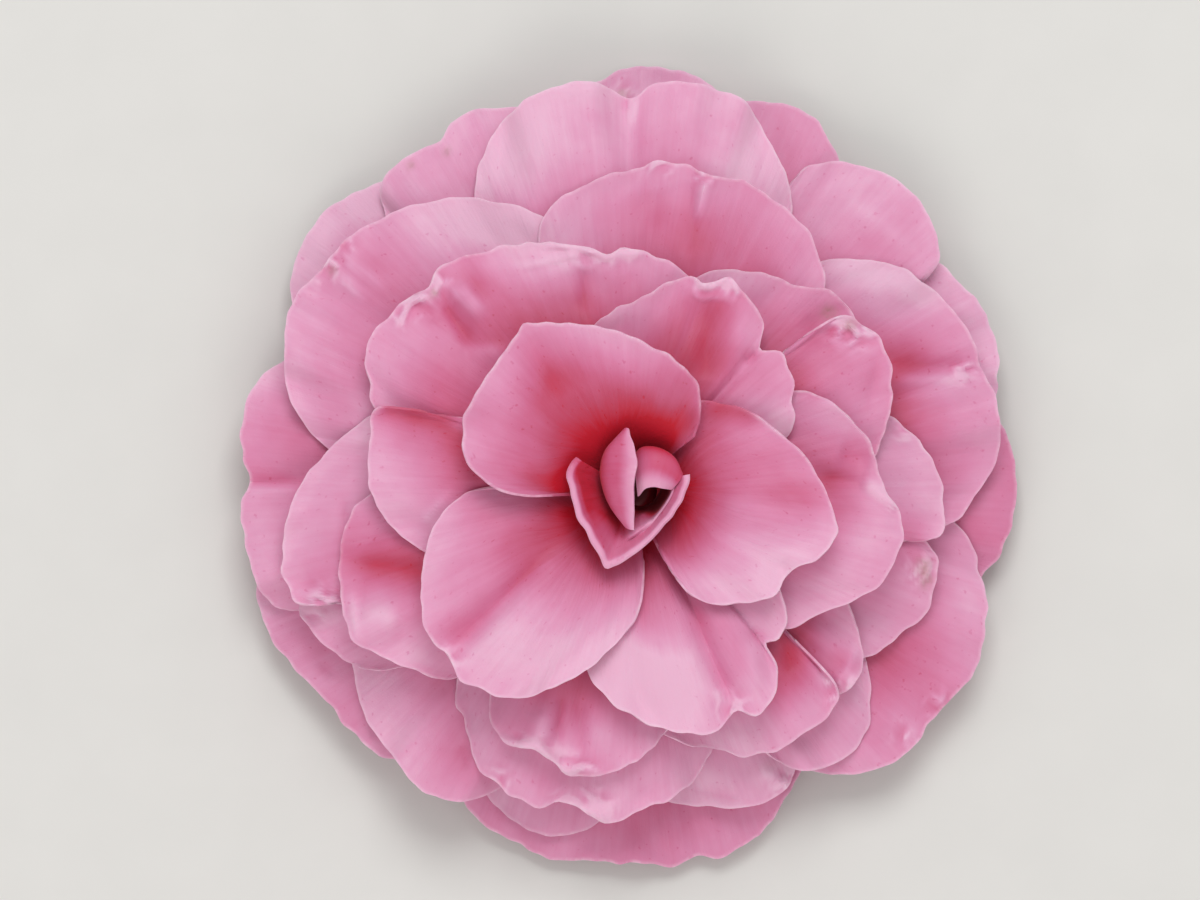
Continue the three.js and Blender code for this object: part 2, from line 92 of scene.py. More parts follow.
def linear(colour):
    """An sRGB hex colour as the linear values that shaders take."""
    parts = [int(colour[i : i + 2], 16) / 255 for i in (1, 3, 5)]
    return (*[c / 12.92 if c < 0.04045 else ((c + 0.055) / 1.055) ** 2.4 for c in parts], 1)


def new_material(name):
    material = bpy.data.materials.new(name)
    material.use_nodes = True
    material.node_tree.nodes.clear()
    return material.node_tree


def add_node(tree, kind, settings={}, links={}):
    """Adds a node with its settings, by property or socket, and the nodes that run into it.

    A node runs in from its first output, or from the one that is named with it.
    """
    node = tree.nodes.new("ShaderNode" + kind)
    for name, value in settings.items():
        if isinstance(name, str) and hasattr(node, name):
            setattr(node, name, value)
        else:
            node.inputs[name].default_value = value
    for name, source in links.items():
        source, output = source if isinstance(source, tuple) else (source, 0)
        tree.links.new(source.outputs[output], node.inputs[name])
    return node


def add_ramp(node, *stops):
    """Sets a colour ramp's stops, each a position and a hex colour."""
    elements = node.color_ramp.elements
    while len(elements) < len(stops):
        elements.new(0.5)
    for element, (position, colour) in zip(elements, stops):
        element.position = position
        element.color = linear(colour)


def place_piece(piece, node):
    """Lets a piece stand for a solid of the frame and ride with it."""
    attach(piece, "root")
    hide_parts(node)


def new_piece(name, bm):
    mesh = bpy.data.meshes.new(name)
    bm.to_mesh(mesh)
    bm.free()
    piece = bpy.data.objects.new(name, mesh)
    bpy.context.collection.objects.link(piece)
    return piece


# Fresh sepal and stalk: waxy plant skin, so a soft sheen, with short hairs too fine to show.
# Green outside. Where the innermost petals are rooted, the cone is a dark maroon: painted shade, so
# that the hole in the eye shows dark.
sepal_skin = new_material("sepal and receptacle skin")
on_calyx = add_node(sepal_skin, "TexCoord")
grain = add_node(sepal_skin, "TexNoise", {"Scale": 900, "Detail": 4},
                 {"Vector": (on_calyx, "Object")})  # flecks about 1 mm apart
blotches = add_node(sepal_skin, "TexNoise", {"Scale": 160, "Detail": 2},
                    {"Vector": (on_calyx, "Object")})  # about 6 mm wide
green = add_node(sepal_skin, "ValToRGB", {}, {"Fac": blotches})
add_ramp(green, (0.3, "#5d6b2e"), (0.55, "#7d8a45"), (0.75, "#9a9a58"))
fleck = add_node(sepal_skin, "MapRange",
                 {"From Min": 0.5, "From Max": 0.75, "To Max": 0.35}, {"Value": grain})
flecked = add_node(sepal_skin, "Mix", {"data_type": "RGBA", 7: linear("#5b4a2a")},
                   {"Factor": fleck, 6: green})
height = add_node(sepal_skin, "SeparateXYZ", {}, {"Vector": (on_calyx, "Object")})
# painted shade: above 9 mm the cone is mixed towards dark maroon
inside = add_node(sepal_skin, "MapRange", {"From Min": 9 * MM, "From Max": 12 * MM},
                  {"Value": (height, "Z")})  # the part of the cone that the inner petals hide
skin_colour_and_shade = add_node(sepal_skin, "Mix", {"data_type": "RGBA", 7: linear("#5c0815")},
                       {"Factor": inside, 6: (flecked, 2)})
skin_bump = add_node(sepal_skin, "Bump", {"Strength": 0.4, "Distance": 0.15 * MM},
                     {"Height": grain})
skin = add_node(sepal_skin, "BsdfPrincipled",
                {"Roughness": 0.48, "IOR": 1.42, "Subsurface Weight": 0.08,
                 "Subsurface Radius": (0.6, 1, 0.3), "Subsurface Scale": 1 * MM},
                {"Base Color": (skin_colour_and_shade, 2), "Normal": skin_bump})
add_node(sepal_skin, "OutputMaterial", {}, {"Surface": skin})

wide, narrow = RECEPTACLE_RADIUS
low, high = ROOT_HEIGHT
cone = [(0, 0), (STALK_RADIUS, 0), (STALK_RADIUS - 0.1, 0.8), (STALK_RADIUS - 0.2, 1.6),
        (STALK_RADIUS + 1, 2.8), (wide - 0.6, low - 2.6), (wide, low - 1), (wide - 1.2, low + 1.4),
        (narrow, high), (narrow - 1.1, high + 0.2), (0, high + 0.3)]
calyx = bmesh.new()
profile = [calyx.verts.new((r * MM, 0, z * MM)) for r, z in cone]
edges = [calyx.edges.new(pair) for pair in zip(profile, profile[1:])]
bmesh.ops.spin(calyx, geom=profile + edges, cent=(0, 0, 0), axis=(0, 0, 1), angle=math.tau,
               steps=48, use_merge=True)
bmesh.ops.remove_doubles(calyx, verts=calyx.verts, dist=0.001 * MM)
bmesh.ops.recalc_face_normals(calyx, faces=calyx.faces)
for row, (reach, drop) in enumerate(SEPAL_ROWS):
    for i in range(SEPALS):
        bearing = 360 / SEPALS * (i + row / 2)
        sepal = bmesh.ops.create_grid(calyx, x_segments=14, y_segments=12, size=0.5)["verts"]
        for vert in sepal:
            side, outward = -2 * vert.co.x, vert.co.y + 0.5
            tip = mix(STALK_RADIUS, reach, outward)
            radius = tip * math.sqrt(1 - 0.5 * side**2 * outward)
            turn = SEPAL_HALF_ANGLE * side * math.sqrt(1 - 0.3 * outward)
            keel = SEPAL_KEEL[0] * math.exp(-((side / SEPAL_KEEL[1]) ** 2)) * outward
            vert.co = polar(bearing + turn, radius, bowl_height(radius, 0) - drop - keel) * MM
        faces = list({face for vert in sepal for face in vert.link_faces})
        bmesh.ops.solidify(calyx, geom=faces, thickness=SEPAL_THICKNESS * MM)
calyx = new_piece("calyx_skin", calyx)
fuse = calyx.modifiers.new("fused", "REMESH")
fuse.mode = "VOXEL"
fuse.voxel_size = SKIN_VOXEL * MM
fused = calyx.evaluated_get(bpy.context.evaluated_depsgraph_get())
calyx.data, calyx_draft = bpy.data.meshes.new_from_object(fused), calyx.data
calyx.modifiers.clear()
bpy.data.meshes.remove(calyx_draft)
smooth = bmesh.new()
smooth.from_mesh(calyx.data)
for _ in range(3):
    bmesh.ops.smooth_vert(smooth, verts=smooth.verts, factor=0.5, use_axis_x=True, use_axis_y=True,
                          use_axis_z=True)
for vert in smooth.verts:  # the cut stays flat on the table
    if vert.co.z < CUT_ZONE * MM and vert.co.xy.length < STALK_RADIUS * MM:
        vert.co.z = 0
for face in smooth.faces:
    face.smooth = True
smooth.to_mesh(calyx.data)
smooth.free()
calyx.data.materials.append(bpy.data.materials["sepal and receptacle skin"])
place_piece(calyx, "calyx")


# ---- Outer petals ----
# The lowest and widest petals: soft, thin blades of petal tissue that lie nearly flat and
# bend down at the rim. Each grows from a narrow claw on the receptacle.

PETAL_THICKNESS = 0.5  # at the claw
MARGIN_THICKNESS = 0.3  # at the free edge
EDGE_ROUNDING = 0.12
CLAW_HALF_WIDTH = 1.5
ROOT_GAP = 0.5  # from the receptacle to the middle of a petal's root
PETAL_ROWS = 54  # of faces from claw to margin
PETAL_COLUMNS = (60, 140)  # from side to side, the fewest and the most
COLUMN_WIDTH = 0.6  # along the margin, where neither holds
UNIT = 100  # a petal's own map is in tenths of a metre
SETTLED_GAP = 0.6  # from a margin's middle down to the petal that it nearly lies on
FREE_SINK = 1  # how far down that petal is taken to be where nothing lies under the margin
SINKING_WIDTH = (0.45, 13)  # how far in a margin sinks: a share of its radius, and the most

CRINKLE = (0.35, 3)  # how far a margin runs in and out, and how far in from it that shows
SLOW_WAVE = 0.3  # the height of the unevenness all over a petal
RUFFLE = (0.8, 7)  # the height of a margin's waves, and how far in they run
CRIMP = (0.18, 2)  # and those of the fine waves on them
HEM_PIGMENT = 0.09  # of the palest pink, where 1 is crimson
# The next two are partly the petal's own deeper pink and partly painted shade, under the petals
# above and in the funnel round the eye
BLADE_PIGMENT_AND_SHADE = 0.48  # what comes on top of it between hem and blade
ROOT_PIGMENT_AND_SHADE = 0.52  # and between blade and root
ROOT_ZONE = (15.5, 6)  # the radii where that begins and ends
# Painted light on folds: crests, the upper sides of ledges and crumple ridges are painted paler as
# highlight, and grooves and hollows deeper as shade
CREASE_PAINTED_LIGHT = 0.19  # how much paler a crease's crest is, for each mm of its height
LEDGE_PAINTED_LIGHT = 0.18  # the same for the upper side of a ledge
CRUMPLE_PAINTED_LIGHT = 0.5  # and for the ridges of a crumple, whatever their height


def draw(seed):
    """A draw between 0 and 1 that is the same on every run."""
    return abs(math.sin(seed * 12.9898) * 43758.5453) % 1


def nearest_turn(angle):
    return (angle + 180) % 360 - 180


def curve_through(knots, steps=14):
    """Close-set points on a smooth curve through the knots, with the length run up to each."""
    knots = [2 * knots[0] - knots[1], *knots, 2 * knots[-1] - knots[-2]]
    line = []
    for before, a, b, after in zip(knots, knots[1:], knots[2:], knots[3:]):
        t0, t1, t2 = (math.sqrt((q - p).length) for p, q in ((before, a), (a, b), (b, after)))
        leave = ((a - before) / t0 - (b - before) / (t0 + t1) + (b - a) / t1) * t1
        arrive = ((b - a) / t1 - (after - a) / (t1 + t2) + (after - b) / t2) * t1
        for step in range(steps):
            s = step / steps
            line.append(a * (2 * s**3 - 3 * s**2 + 1) + leave * (s**3 - 2 * s**2 + s)
                        + b * (3 * s**2 - 2 * s**3) + arrive * (s**3 - s**2))
    line.append(knots[-2])
    run = [0]
    for p, q in zip(line, line[1:]):
        run.append(run[-1] + (q - p).length)
    return line, run


def point_at(line, run, share):
    """The point that lies a share of the way along such a curve."""
    goal = share * run[-1]
    i = min(max(bisect_left(run, goal), 1), len(run) - 1)
    return line[i - 1].lerp(line[i], (goal - run[i - 1]) / (run[i] - run[i - 1]))


def blade(name, columns, rows, place, material):
    """A petal from a flat grid. place(across, row) gives each point, its tints and its map."""
    bm = bmesh.new()
    tints = bm.verts.layers.float_color.new("tints")
    body = bm.verts.layers.deform.verify()
    column, inset = (bm.verts.layers.float.new(name) for name in ("column", "inset"))
    petal_map = bm.loops.layers.uv.new("petal map")
    bmesh.ops.create_grid(bm, x_segments=columns, y_segments=rows, size=0.5)
    spots = {}
    for vert in bm.verts:
        across, row = 0.5 - vert.co.x, 0.5 + vert.co.y
        point, tint, spots[vert] = place(across, row)
        vert.co = point * MM
        vert[tints] = (*tint, 1)
        vert[body][0] = 1 - row
        vert[column], vert[inset] = across, spots[vert][1] * UNIT
    for face in bm.faces:
        face.smooth = True
        for loop in face.loops:
            loop[petal_map].uv = spots[loop.vert]
    piece = new_piece(name, bm)
    piece.vertex_groups.new(name="body")
    wall = piece.modifiers.new("thickness", "SOLIDIFY")
    wall.thickness = PETAL_THICKNESS * MM
    wall.offset = 0
    wall.vertex_group = "body"
    wall.thickness_vertex_group = MARGIN_THICKNESS / PETAL_THICKNESS
    rounding = piece.modifiers.new("rounded edge", "BEVEL")
    rounding.width = EDGE_ROUNDING * MM
    rounding.segments = 2
    rounding.limit_method = "ANGLE"
    rounding.angle_limit = math.radians(60)
    piece.data.materials.append(material)
    return piece


def line_distance(spot, x0, y0, x1, y1):
    """How far a point is from a line, left positive, and where along it the nearest point is."""
    run = Vector((x1 - x0, y1 - y0))
    off = Vector((spot.x - x0, spot.y - y0))
    share = min(max(off.dot(run) / run.length_squared, 0), 1)
    return math.copysign((off - share * run).length, run.cross(off)), share


laid = []  # the petals laid so far, each as a tree of its faces
PETALS_BEFORE = {"inner": 0, "middle": 7, "outer": 19}  # how many each group has inside it


def settle(piece, rows, depth, room):
    """Lets a petal's margin sink until it nearly lies on the petals under it."""
    points = piece.data.vertices
    columns = len(points) // rows
    down = Vector((0, 0, -1))
    column, inset = (piece.data.attributes[name].data for name in ("column", "inset"))
    lines = sorted(range(len(points)), key=lambda i: (column[i].value, inset[i].value))
    lines = [lines[i : i + rows] for i in range(0, len(lines), rows)]
    sinks = []
    for line in lines:
        sink = depth
        for i in line:
            share = ease(inset[i].value, room, 0)
            if share < 0.1:  # the rest of the line hardly moves
                break
            drops = [tree.ray_cast(points[i].co, down)[3] for tree in laid]
            nearest = min([drop / MM for drop in drops if drop is not None], default=FREE_SINK)
            sink = min(sink, max(nearest - SETTLED_GAP, 0) / share)
        sinks.append(sink)
    for _ in range(2):  # no line sinks further than the two on either side of it can
        sinks = [min(sinks[max(i - 1, 0) : i + 2]) for i in range(columns)]
    for _ in range(4):
        spread = [sinks[max(i - 1, 0) : i + 2] for i in range(columns)]
        sinks = [sum(near) / len(near) for near in spread]
    for line, sink in zip(lines, sinks):
        for i in line:
            points[i].co.z -= sink * ease(inset[i].value, room, 0) * MM


def petal(node, level, margin, root=None, lift=0, cup=0, folds=(), frill=1, tone_and_shade=0, pale=20,
          sink=3, creases=(), ledges=(), crumples=(), bruises=(), blushes_and_painted_light=()):
    """Makes one petal and lays it on the ones under it. Lengths are in mm, on the plan.

    level: the bowl that it lies on.  margin: its edge as bearings and radii.
    root: the bearing of its claw, if not its middle's.
    lift, cup: how far its free edge turns up and its sides stand up.
    folds: (bearing, height, half width in degrees).  frill: how crinkled its edge is.
    tone_and_shade: how much deeper its pink is, partly its own and partly painted shade where it
    faces away from the lamp.  pale: how far in from the margin it keeps getting deeper.
    sink: the most its edge settles.
    creases: (x, y, x, y, height, half width), a ridge or groove along a line.
    ledges: (x, y, x, y, step, reach), a fold where the left side of a line stands over the right.
    crumples: (x, y, reach, height), a creased patch.  bruises: (x, y, reach).
    blushes_and_painted_light: (x, y, reach, how much deeper), a patch of deeper or paler pink,
    partly the petal's own blush and partly painted shade and painted highlight.
    """
    line, run = curve_through([polar(*knot) for knot in margin])
    start = root_radius(level) + ROOT_GAP
    first, last = margin[0][0], margin[-1][0]
    centre = (first + last) / 2 if root is None else root
    claw_share = CLAW_HALF_WIDTH / start / math.radians((last - first) / 2)
    group, _, number = node.split("_")
    seed = PETALS_BEFORE[group] + int(number)  # what its own draws start from
    waves = math.floor(2 * (1 + 1.5 * draw(seed)))  # half waves from side to side
    phase = math.tau * draw(seed + 0.5)
    wave_height = mix(0.25, 0.5, draw(seed + 0.25))
    # partly the petal's own depth of pink and partly painted shade for petals turned from the lamp
    shade = tone_and_shade + 0.08 * (draw(seed + 0.75) - 0.5)

    def near(spot, x, y, size):
        return math.exp(-((spot.x - x) ** 2 + (spot.y - y) ** 2) / size**2)

    def place(across, row):
        outward = 1 - (1 - row) ** 1.5  # rows stand closer together near the free edge
        rim = point_at(line, run, across)
        reach = math.hypot(rim.x, rim.y)
        side = 2 * across - 1
        along = across * run[-1]
        inset = (1 - outward) * (reach - start)  # from the margin
        from_centre = nearest_turn(math.degrees(math.atan2(rim.y, rim.x)) - centre)
        bearing = centre + from_centre * mix(claw_share, 1, ease(outward, 0, 0.5))
        crinkle = noise.noise((along / 2.2, 0, seed)) + 0.8 * noise.noise((along / 6, 1, seed))
        crinkle *= CRINKLE[0] * frill * ease(inset, CRINKLE[1], 0)
        radius = mix(start, reach, outward) + crinkle
        height = bowl_height(radius, level) + lift * outward**3
        height += cup * (side**2 - 0.3) * outward
        height += wave_height * math.sin(math.pi * waves * side + phase) * ease(outward, 0.6, 1)
        for at, depth, spread in folds:
            aside = nearest_turn(bearing - at) / spread
            height += depth * math.exp(-(aside**2)) * ease(outward, 0.35, 0.9)
        height += SLOW_WAVE * noise.noise((along / 5, inset / 14, seed)) * ease(outward, 0.2, 0.8)
        ruffle, crimp = (tall * frill * ease(inset, wide, 0) for tall, wide in (RUFFLE, CRIMP))
        height += ruffle * noise.noise((along / 4.5, inset / 6, seed + 9))
        height += crimp * noise.noise((along / 1.4, inset / 3, seed + 5))
        spot = polar(bearing, radius)
        # The pink deepens in from the hem and towards the claw: partly its own colour, partly
        # painted shade under the petals above
        pigment_and_painted_light = shade + HEM_PIGMENT
        pigment_and_painted_light += BLADE_PIGMENT_AND_SHADE * ease(inset, 0, pale) + ROOT_PIGMENT_AND_SHADE * ease(radius, *ROOT_ZONE)
        # painted highlight on a crease's crest and painted shade in its groove
        for x0, y0, x1, y1, depth, width in creases:
            aside, share = line_distance(spot, x0, y0, x1, y1)
            press = math.exp(-((abs(aside) / width) ** 1.5)) * (1 - 0.7 * abs(2 * share - 1) ** 3)
            height += depth * press
            pigment_and_painted_light -= CREASE_PAINTED_LIGHT * press * (1.6 * depth if depth > 0 else max(depth, -0.95))
        # painted highlight on a ledge's upper side and painted shade below it
        for x0, y0, x1, y1, step, width in ledges:
            aside, share = line_distance(spot, x0, y0, x1, y1)
            fade = 1 - 0.8 * abs(2 * share - 1) ** 4
            side_share = math.tanh(aside / 0.8) * math.exp(-abs(aside) / width) * fade
            height += 0.5 * step * side_share
            pigment_and_painted_light -= LEDGE_PAINTED_LIGHT * step * side_share
        # painted highlight on a crumple's ridges and painted shade in its hollows
        for *patch, tall in crumples:
            here = near(spot, *patch)
            ridge = max(1 - 4 * abs(noise.noise((spot.x / 2.2, spot.y / 2.2, seed + 3))), 0)
            height += 0.5 * tall * here * ridge
            pigment_and_painted_light -= CRUMPLE_PAINTED_LIGHT * here * (ridge - 0.3)
        # patches that are partly the petal's own blush and partly painted shade and painted
        # highlight
        for *patch, deeper in blushes_and_painted_light:
            pigment_and_painted_light += deeper * near(spot, *patch)
        bruise = sum(near(spot, *patch) for patch in bruises)
        spot.z = height
        return spot, (pigment_and_painted_light, min(bruise, 1), draw(seed)), (along / UNIT, inset / UNIT)

    fewest, most = PETAL_COLUMNS
    columns = min(max(round(run[-1] / COLUMN_WIDTH), fewest), most)
    piece = blade(node + "_blade", columns, PETAL_ROWS, place, bpy.data.materials["camellia petal"])
    share, widest = SINKING_WIDTH
    settle(piece, PETAL_ROWS + 1, sink, min(share * max(knot[1] for knot in margin), widest))
    laid.append(BVHTree.FromPolygons([v.co for v in piece.data.vertices],
                                     [f.vertices for f in piece.data.polygons]))
    place_piece(piece, node)


# Petal tissue: thin, moist and slightly waxy, so light soaks in and gives a soft satin face.
# The pink is deepest at the claw, partly its own colour and partly painted shade; folds are painted
# deeper in their hollows as shade and paler on their crests as highlight, and it pales to a thin,
# almost white margin.
# Veins run from the claw to the margin, about 1 mm apart, and small deeper spots lie between.
# A petal's tints hold its pigment together with its painted light and shade as red, its bruises as
# green and a number of its own as blue.
def petal_tissue(name, stops, hem_and_highlight_colour, hem_and_highlight_width):
    tissue = new_material(name)
    petal_map = add_node(tissue, "UVMap", {"uv_map": "petal map"})
    tints = add_node(tissue, "Attribute", {"attribute_name": "tints"})
    tint = add_node(tissue, "SeparateColor", {}, {"Color": tints})
    split = add_node(tissue, "SeparateXYZ", {}, {"Vector": petal_map})
    shift = add_node(tissue, "Math", {"operation": "MULTIPLY", 1: 37.0}, {0: (tint, "Blue")})
    own_map = add_node(tissue, "CombineXYZ", {}, {"X": (split, "X"), "Y": (split, "Y"), "Z": shift})
    vein_map = add_node(tissue, "Mapping",
                        {"vector_type": "POINT", "Scale": (UNIT, UNIT / 16, 1)},
                        {"Vector": own_map})
    veins = add_node(tissue, "TexNoise", {"Scale": 1.1, "Detail": 3, "Roughness": 0.6},
                     {"Vector": vein_map})
    flat_map = add_node(tissue, "Mapping",
                        {"vector_type": "POINT", "Scale": (UNIT, UNIT, 1)},
                        {"Vector": own_map})
    patches = add_node(tissue, "TexNoise", {"Scale": 0.16, "Detail": 3},
                       {"Vector": flat_map})  # cloudy patches about 6 mm wide
    specks = add_node(tissue, "TexNoise", {"Scale": 1.3, "Detail": 1.5},
                      {"Vector": flat_map})  # deeper specks under 1 mm wide
    cells = add_node(tissue, "TexNoise", {"Scale": 4, "Detail": 2},
                     {"Vector": flat_map})  # skin cells, drawn at 0.25 mm to show

    # What each pattern does: the range of its own that counts, and the change that comes of it.
    limits = ("From Min", "From Max", "To Min", "To Max")
    cloud, vein, speck, ragged, edge, light_zone, gloss = (
        add_node(tissue, "MapRange", dict(zip(limits, values)), {"Value": source})
        for source, *values in ((patches, 0, 1, -0.13, 0.13),
                                (veins, 0.3, 0.7, -0.03, 0.03),
                                (specks, 0.68, 0.78, 0, 0.16),
                                (veins, 0.35, 0.65, 0.2, 1),
                                ((split, "Y"), 0, hem_and_highlight_width / UNIT, 0.6, 0),
                                ((tint, "Red"), 0.3, 0.6, 1, 0.15),
                                (patches, 0, 1, 0.5, 0.68)))
    depth = (tint, "Red")
    for change in (cloud, vein, speck):
        depth = add_node(tissue, "Math", {}, {0: depth, 1: change})
    pink = add_node(tissue, "ValToRGB", {}, {"Fac": depth})
    add_ramp(pink, *stops)
    # The pale hem along the margin: partly the petal's own paler edge and partly a painted
    # highlight where the edge catches the light, broken along the veins and faded where the pink is
    # deep
    rim = edge
    for share in (ragged, light_zone):
        rim = add_node(tissue, "Math", {"operation": "MULTIPLY"}, {0: rim, 1: share})
    edged = add_node(tissue, "Mix", {"data_type": "RGBA", 7: linear(hem_and_highlight_colour)},
                     {"Factor": rim, 6: pink})
    worn = add_node(tissue, "Math", {"operation": "MULTIPLY", "use_clamp": True},
                    {0: (tint, "Green"), 1: specks})
    colour = add_node(tissue, "Mix", {"data_type": "RGBA", 7: linear("#a98078")},
                      {"Factor": worn, 6: (edged, 2)})
    relief = add_node(tissue, "Math", {"operation": "MULTIPLY_ADD", 1: 0.25}, {0: cells, 2: veins})
    bump = add_node(tissue, "Bump", {"Strength": 0.4, "Distance": 0.2 * MM}, {"Height": relief})
    flesh = add_node(tissue, "BsdfPrincipled",
                     {"IOR": 1.4, "Subsurface Weight": 0.25, "Subsurface Radius": (0.8, 0.5, 0.6),
                      "Subsurface Scale": 1 * MM, "Sheen Weight": 0.1, "Sheen Roughness": 0.5,
                      "Sheen Tint": linear("#ffd6e6")},
                     {"Base Color": (colour, 2), "Roughness": gloss,
                      "Normal": bump})
    add_node(tissue, "OutputMaterial", {}, {"Surface": flesh})


petal_tissue("camellia petal",
             ((0.0, "#ecb7d2"), (0.12, "#e4a1c3"), (0.27, "#dd8cb2"), (0.5, "#d16d94"),
              (0.75, "#c44a6a"), (1.0, "#c60e2a")), "#f6d6e6", 0.5)

petal("outer_petal_19", level=0.1, lift=0.6, folds=[(280, -0.5, 2)], tone_and_shade=0.16, frill=1.4,
    margin=[(228, 30), (234, 40.5), (242, 44.8), (249, 46.7), (255, 47.5), (259, 47.7), (265, 47.2),
    (272, 47.4), (277, 48), (280, 47.2), (284, 48.1), (290, 47), (294, 45), (299, 42.8),
    (305, 39.5), (311, 30)],
    blushes_and_painted_light=[(1.3, -41.8, 5, 0.1)])
petal("outer_petal_18", level=0.2, root=102, lift=0.3,
    margin=[(68, 33), (72, 45), (76, 50.6), (80, 52.8), (84, 53.8), (89, 53.6), (93, 52.6),
    (98, 50.5), (103, 46.5), (108, 34)],
    crumples=[(-0.6, 50.4, 1.4, 1)],
    bruises=[(-1, 50.1, 0.7)])
petal("outer_petal_17", level=0.5, root=342, lift=0.2, tone_and_shade=0.25,
    margin=[(332, 30), (337, 40.5), (342, 44.6), (347, 46.3), (351, 47.9), (356, 48.7), (361, 49.1),
    (366, 48.6), (371, 47.2), (377, 43), (383, 32)])
petal("outer_petal_15", level=0.8, cup=0.1, tone_and_shade=0.14,
    margin=[(182, 30), (187, 42.5), (191, 47), (195, 48.9), (199, 49.4), (204, 49), (209, 47.9),
    (215, 46.9), (221, 46.7), (226, 46.3), (231, 44.2), (237, 40), (243, 31)],
    creases=[(-39.5, -21.8, -37.5, -23.5, -0.5, 1), (-35.2, -22.5, -30.1, -25.3, 0.5, 0.7)],
    blushes_and_painted_light=[(-29.1, -26.6, 6, 0.08), (-46.2, -13.9, 4, -0.14)])
petal("outer_petal_16", level=0.8, tone_and_shade=-0.03,
    margin=[(116, 32), (121, 44), (126, 49), (131, 50.7), (136, 52.2), (140, 52.4), (145, 51.5),
    (149, 50.1), (153, 47.7), (158, 42.5), (163, 31)],
    blushes_and_painted_light=[(-44.3, 17.7, 4, -0.1), (-41.1, 31, 4, -0.12), (-36.1, 34.8, 3, -0.1),
    (-41.8, 25.9, 3, -0.08), (-31.3, 36.7, 3, -0.24)])
petal("outer_petal_14", level=0.9, root=74, tone_and_shade=0.1,
    margin=[(51, 31), (53, 42), (56, 48.3), (60, 50.7), (63, 52.4), (67, 52.8), (71, 52.2),
    (75, 50.7), (80, 47.5), (85, 42), (89, 32)])
petal("outer_petal_12", level=1, root=16, lift=0.2, tone_and_shade=-0.05, frill=1.4,
    margin=[(2, 30), (7, 41), (13, 47.2), (19, 49.4), (24, 50.2), (28, 50.1), (32, 49.3),
    (36, 48.8), (41, 46.5), (45, 41), (47, 31)])
petal("outer_petal_11", level=1.2, lift=0.2, tone_and_shade=0.12, frill=1.3,
    margin=[(294, 29), (298, 37.5), (303, 42.6), (309, 46.2), (314, 47.9), (318, 48.4), (324, 48.2),
    (329, 48.8), (332, 49.3), (337, 48.7), (343, 47.3), (347, 45.4), (352, 43.3), (356, 39.5),
    (360, 31)],
    crumples=[(39.2, -27.3, 1.6, 1), (34.8, -31, 1.4, 0.9)],
    blushes_and_painted_light=[(37.3, -24.1, 5, 0.18), (31.6, -21.5, 4, 0.12), (43.9, -13.9, 5, -0.1)])
petal("outer_petal_13", level=1.4, tone_and_shade=0.05,
    margin=[(231, 29), (236, 37.5), (242, 41.6), (246, 43.1), (250, 44.4), (255, 45.1), (260, 44.3),
    (264, 42.6), (270, 38), (275, 29)],
    blushes_and_painted_light=[(-16.5, -39.9, 3, -0.14)])
petal("outer_petal_10", level=1.6, lift=0.2,
    margin=[(92, 32), (97, 43), (102, 48.8), (107, 50.6), (110, 51.6), (113, 52.2), (116, 51.5),
    (119, 50.4), (122, 50.6), (126, 50.8), (129, 49.9), (131.5, 47), (134, 42), (138, 32)],
    bruises=[(-27.8, 41.1, 0.5), (-23.2, 42.8, 0.5)],
    blushes_and_painted_light=[(-23.4, 39.9, 3, 0.08)])
petal("outer_petal_7", level=1.65, root=52, lift=0.3, tone_and_shade=-0.04,
    margin=[(31, 28), (33, 38), (35, 44.5), (37, 49), (42, 51.3), (46, 51.9), (50, 51.7),
    (55, 50.3), (59, 48.5), (61.5, 46.3), (62.4, 43), (62.8, 37), (63, 28)],
    creases=[(26.3, 38, 37.3, 28.9, 0.3, 1.5)],
    blushes_and_painted_light=[(34.2, 31.6, 4, 0.08), (23.4, 32.9, 4, -0.06), (25.3, 30.4, 4, -0.1)])
petal("outer_petal_8", level=1.9, root=281, lift=0.2, tone_and_shade=-0.06,
    margin=[(264, 27), (269, 34.5), (275, 38.8), (282, 41), (289, 42.6), (294, 43.1), (298, 42.5),
    (302, 40), (306, 35), (310, 27)],
    creases=[(16.7, -35.2, 19.5, -37.5, 0.6, 0.6), (19.5, -37.5, 21.9, -35.7, 0.5, 0.6),
    (8.9, -38, 13.9, -39.2, -0.5, 1)],
    crumples=[(20, -36.7, 2, 1.4)],
    blushes_and_painted_light=[(-1.3, -41.1, 5, 0.1), (18.4, -38, 3, 0.1), (-1.9, -39.2, 4, 0.1),
    (-3.8, -41.5, 4, 0.12), (-8.9, -42.8, 4, 0.08)])
petal("outer_petal_9", level=1.9, cup=0.2, folds=[(178.5, -0.9, 3)], tone_and_shade=0.02,
    margin=[(148, 31), (153, 41), (158, 45.8), (163, 48.8), (167, 50), (171, 49.9), (175, 49.2),
    (178.5, 48.1), (182, 49.4), (186, 49.3), (190, 48.9), (195, 48.7), (198, 47.5), (200, 44.5),
    (203, 38), (206, 29)],
    creases=[(-48.9, 1, -41.8, 1.1, -1, 1.1), (-48.6, 0.1, -41.8, 0.1, 0.7, 0.8)],
    blushes_and_painted_light=[(-45.8, 10.1, 5, 0.12), (-46.6, 3.5, 4, 0.12), (-41.8, 1.9, 5, 0.08),
    (-45.8, 14.6, 4, -0.14), (-47.5, 11.4, 3, -0.06)])
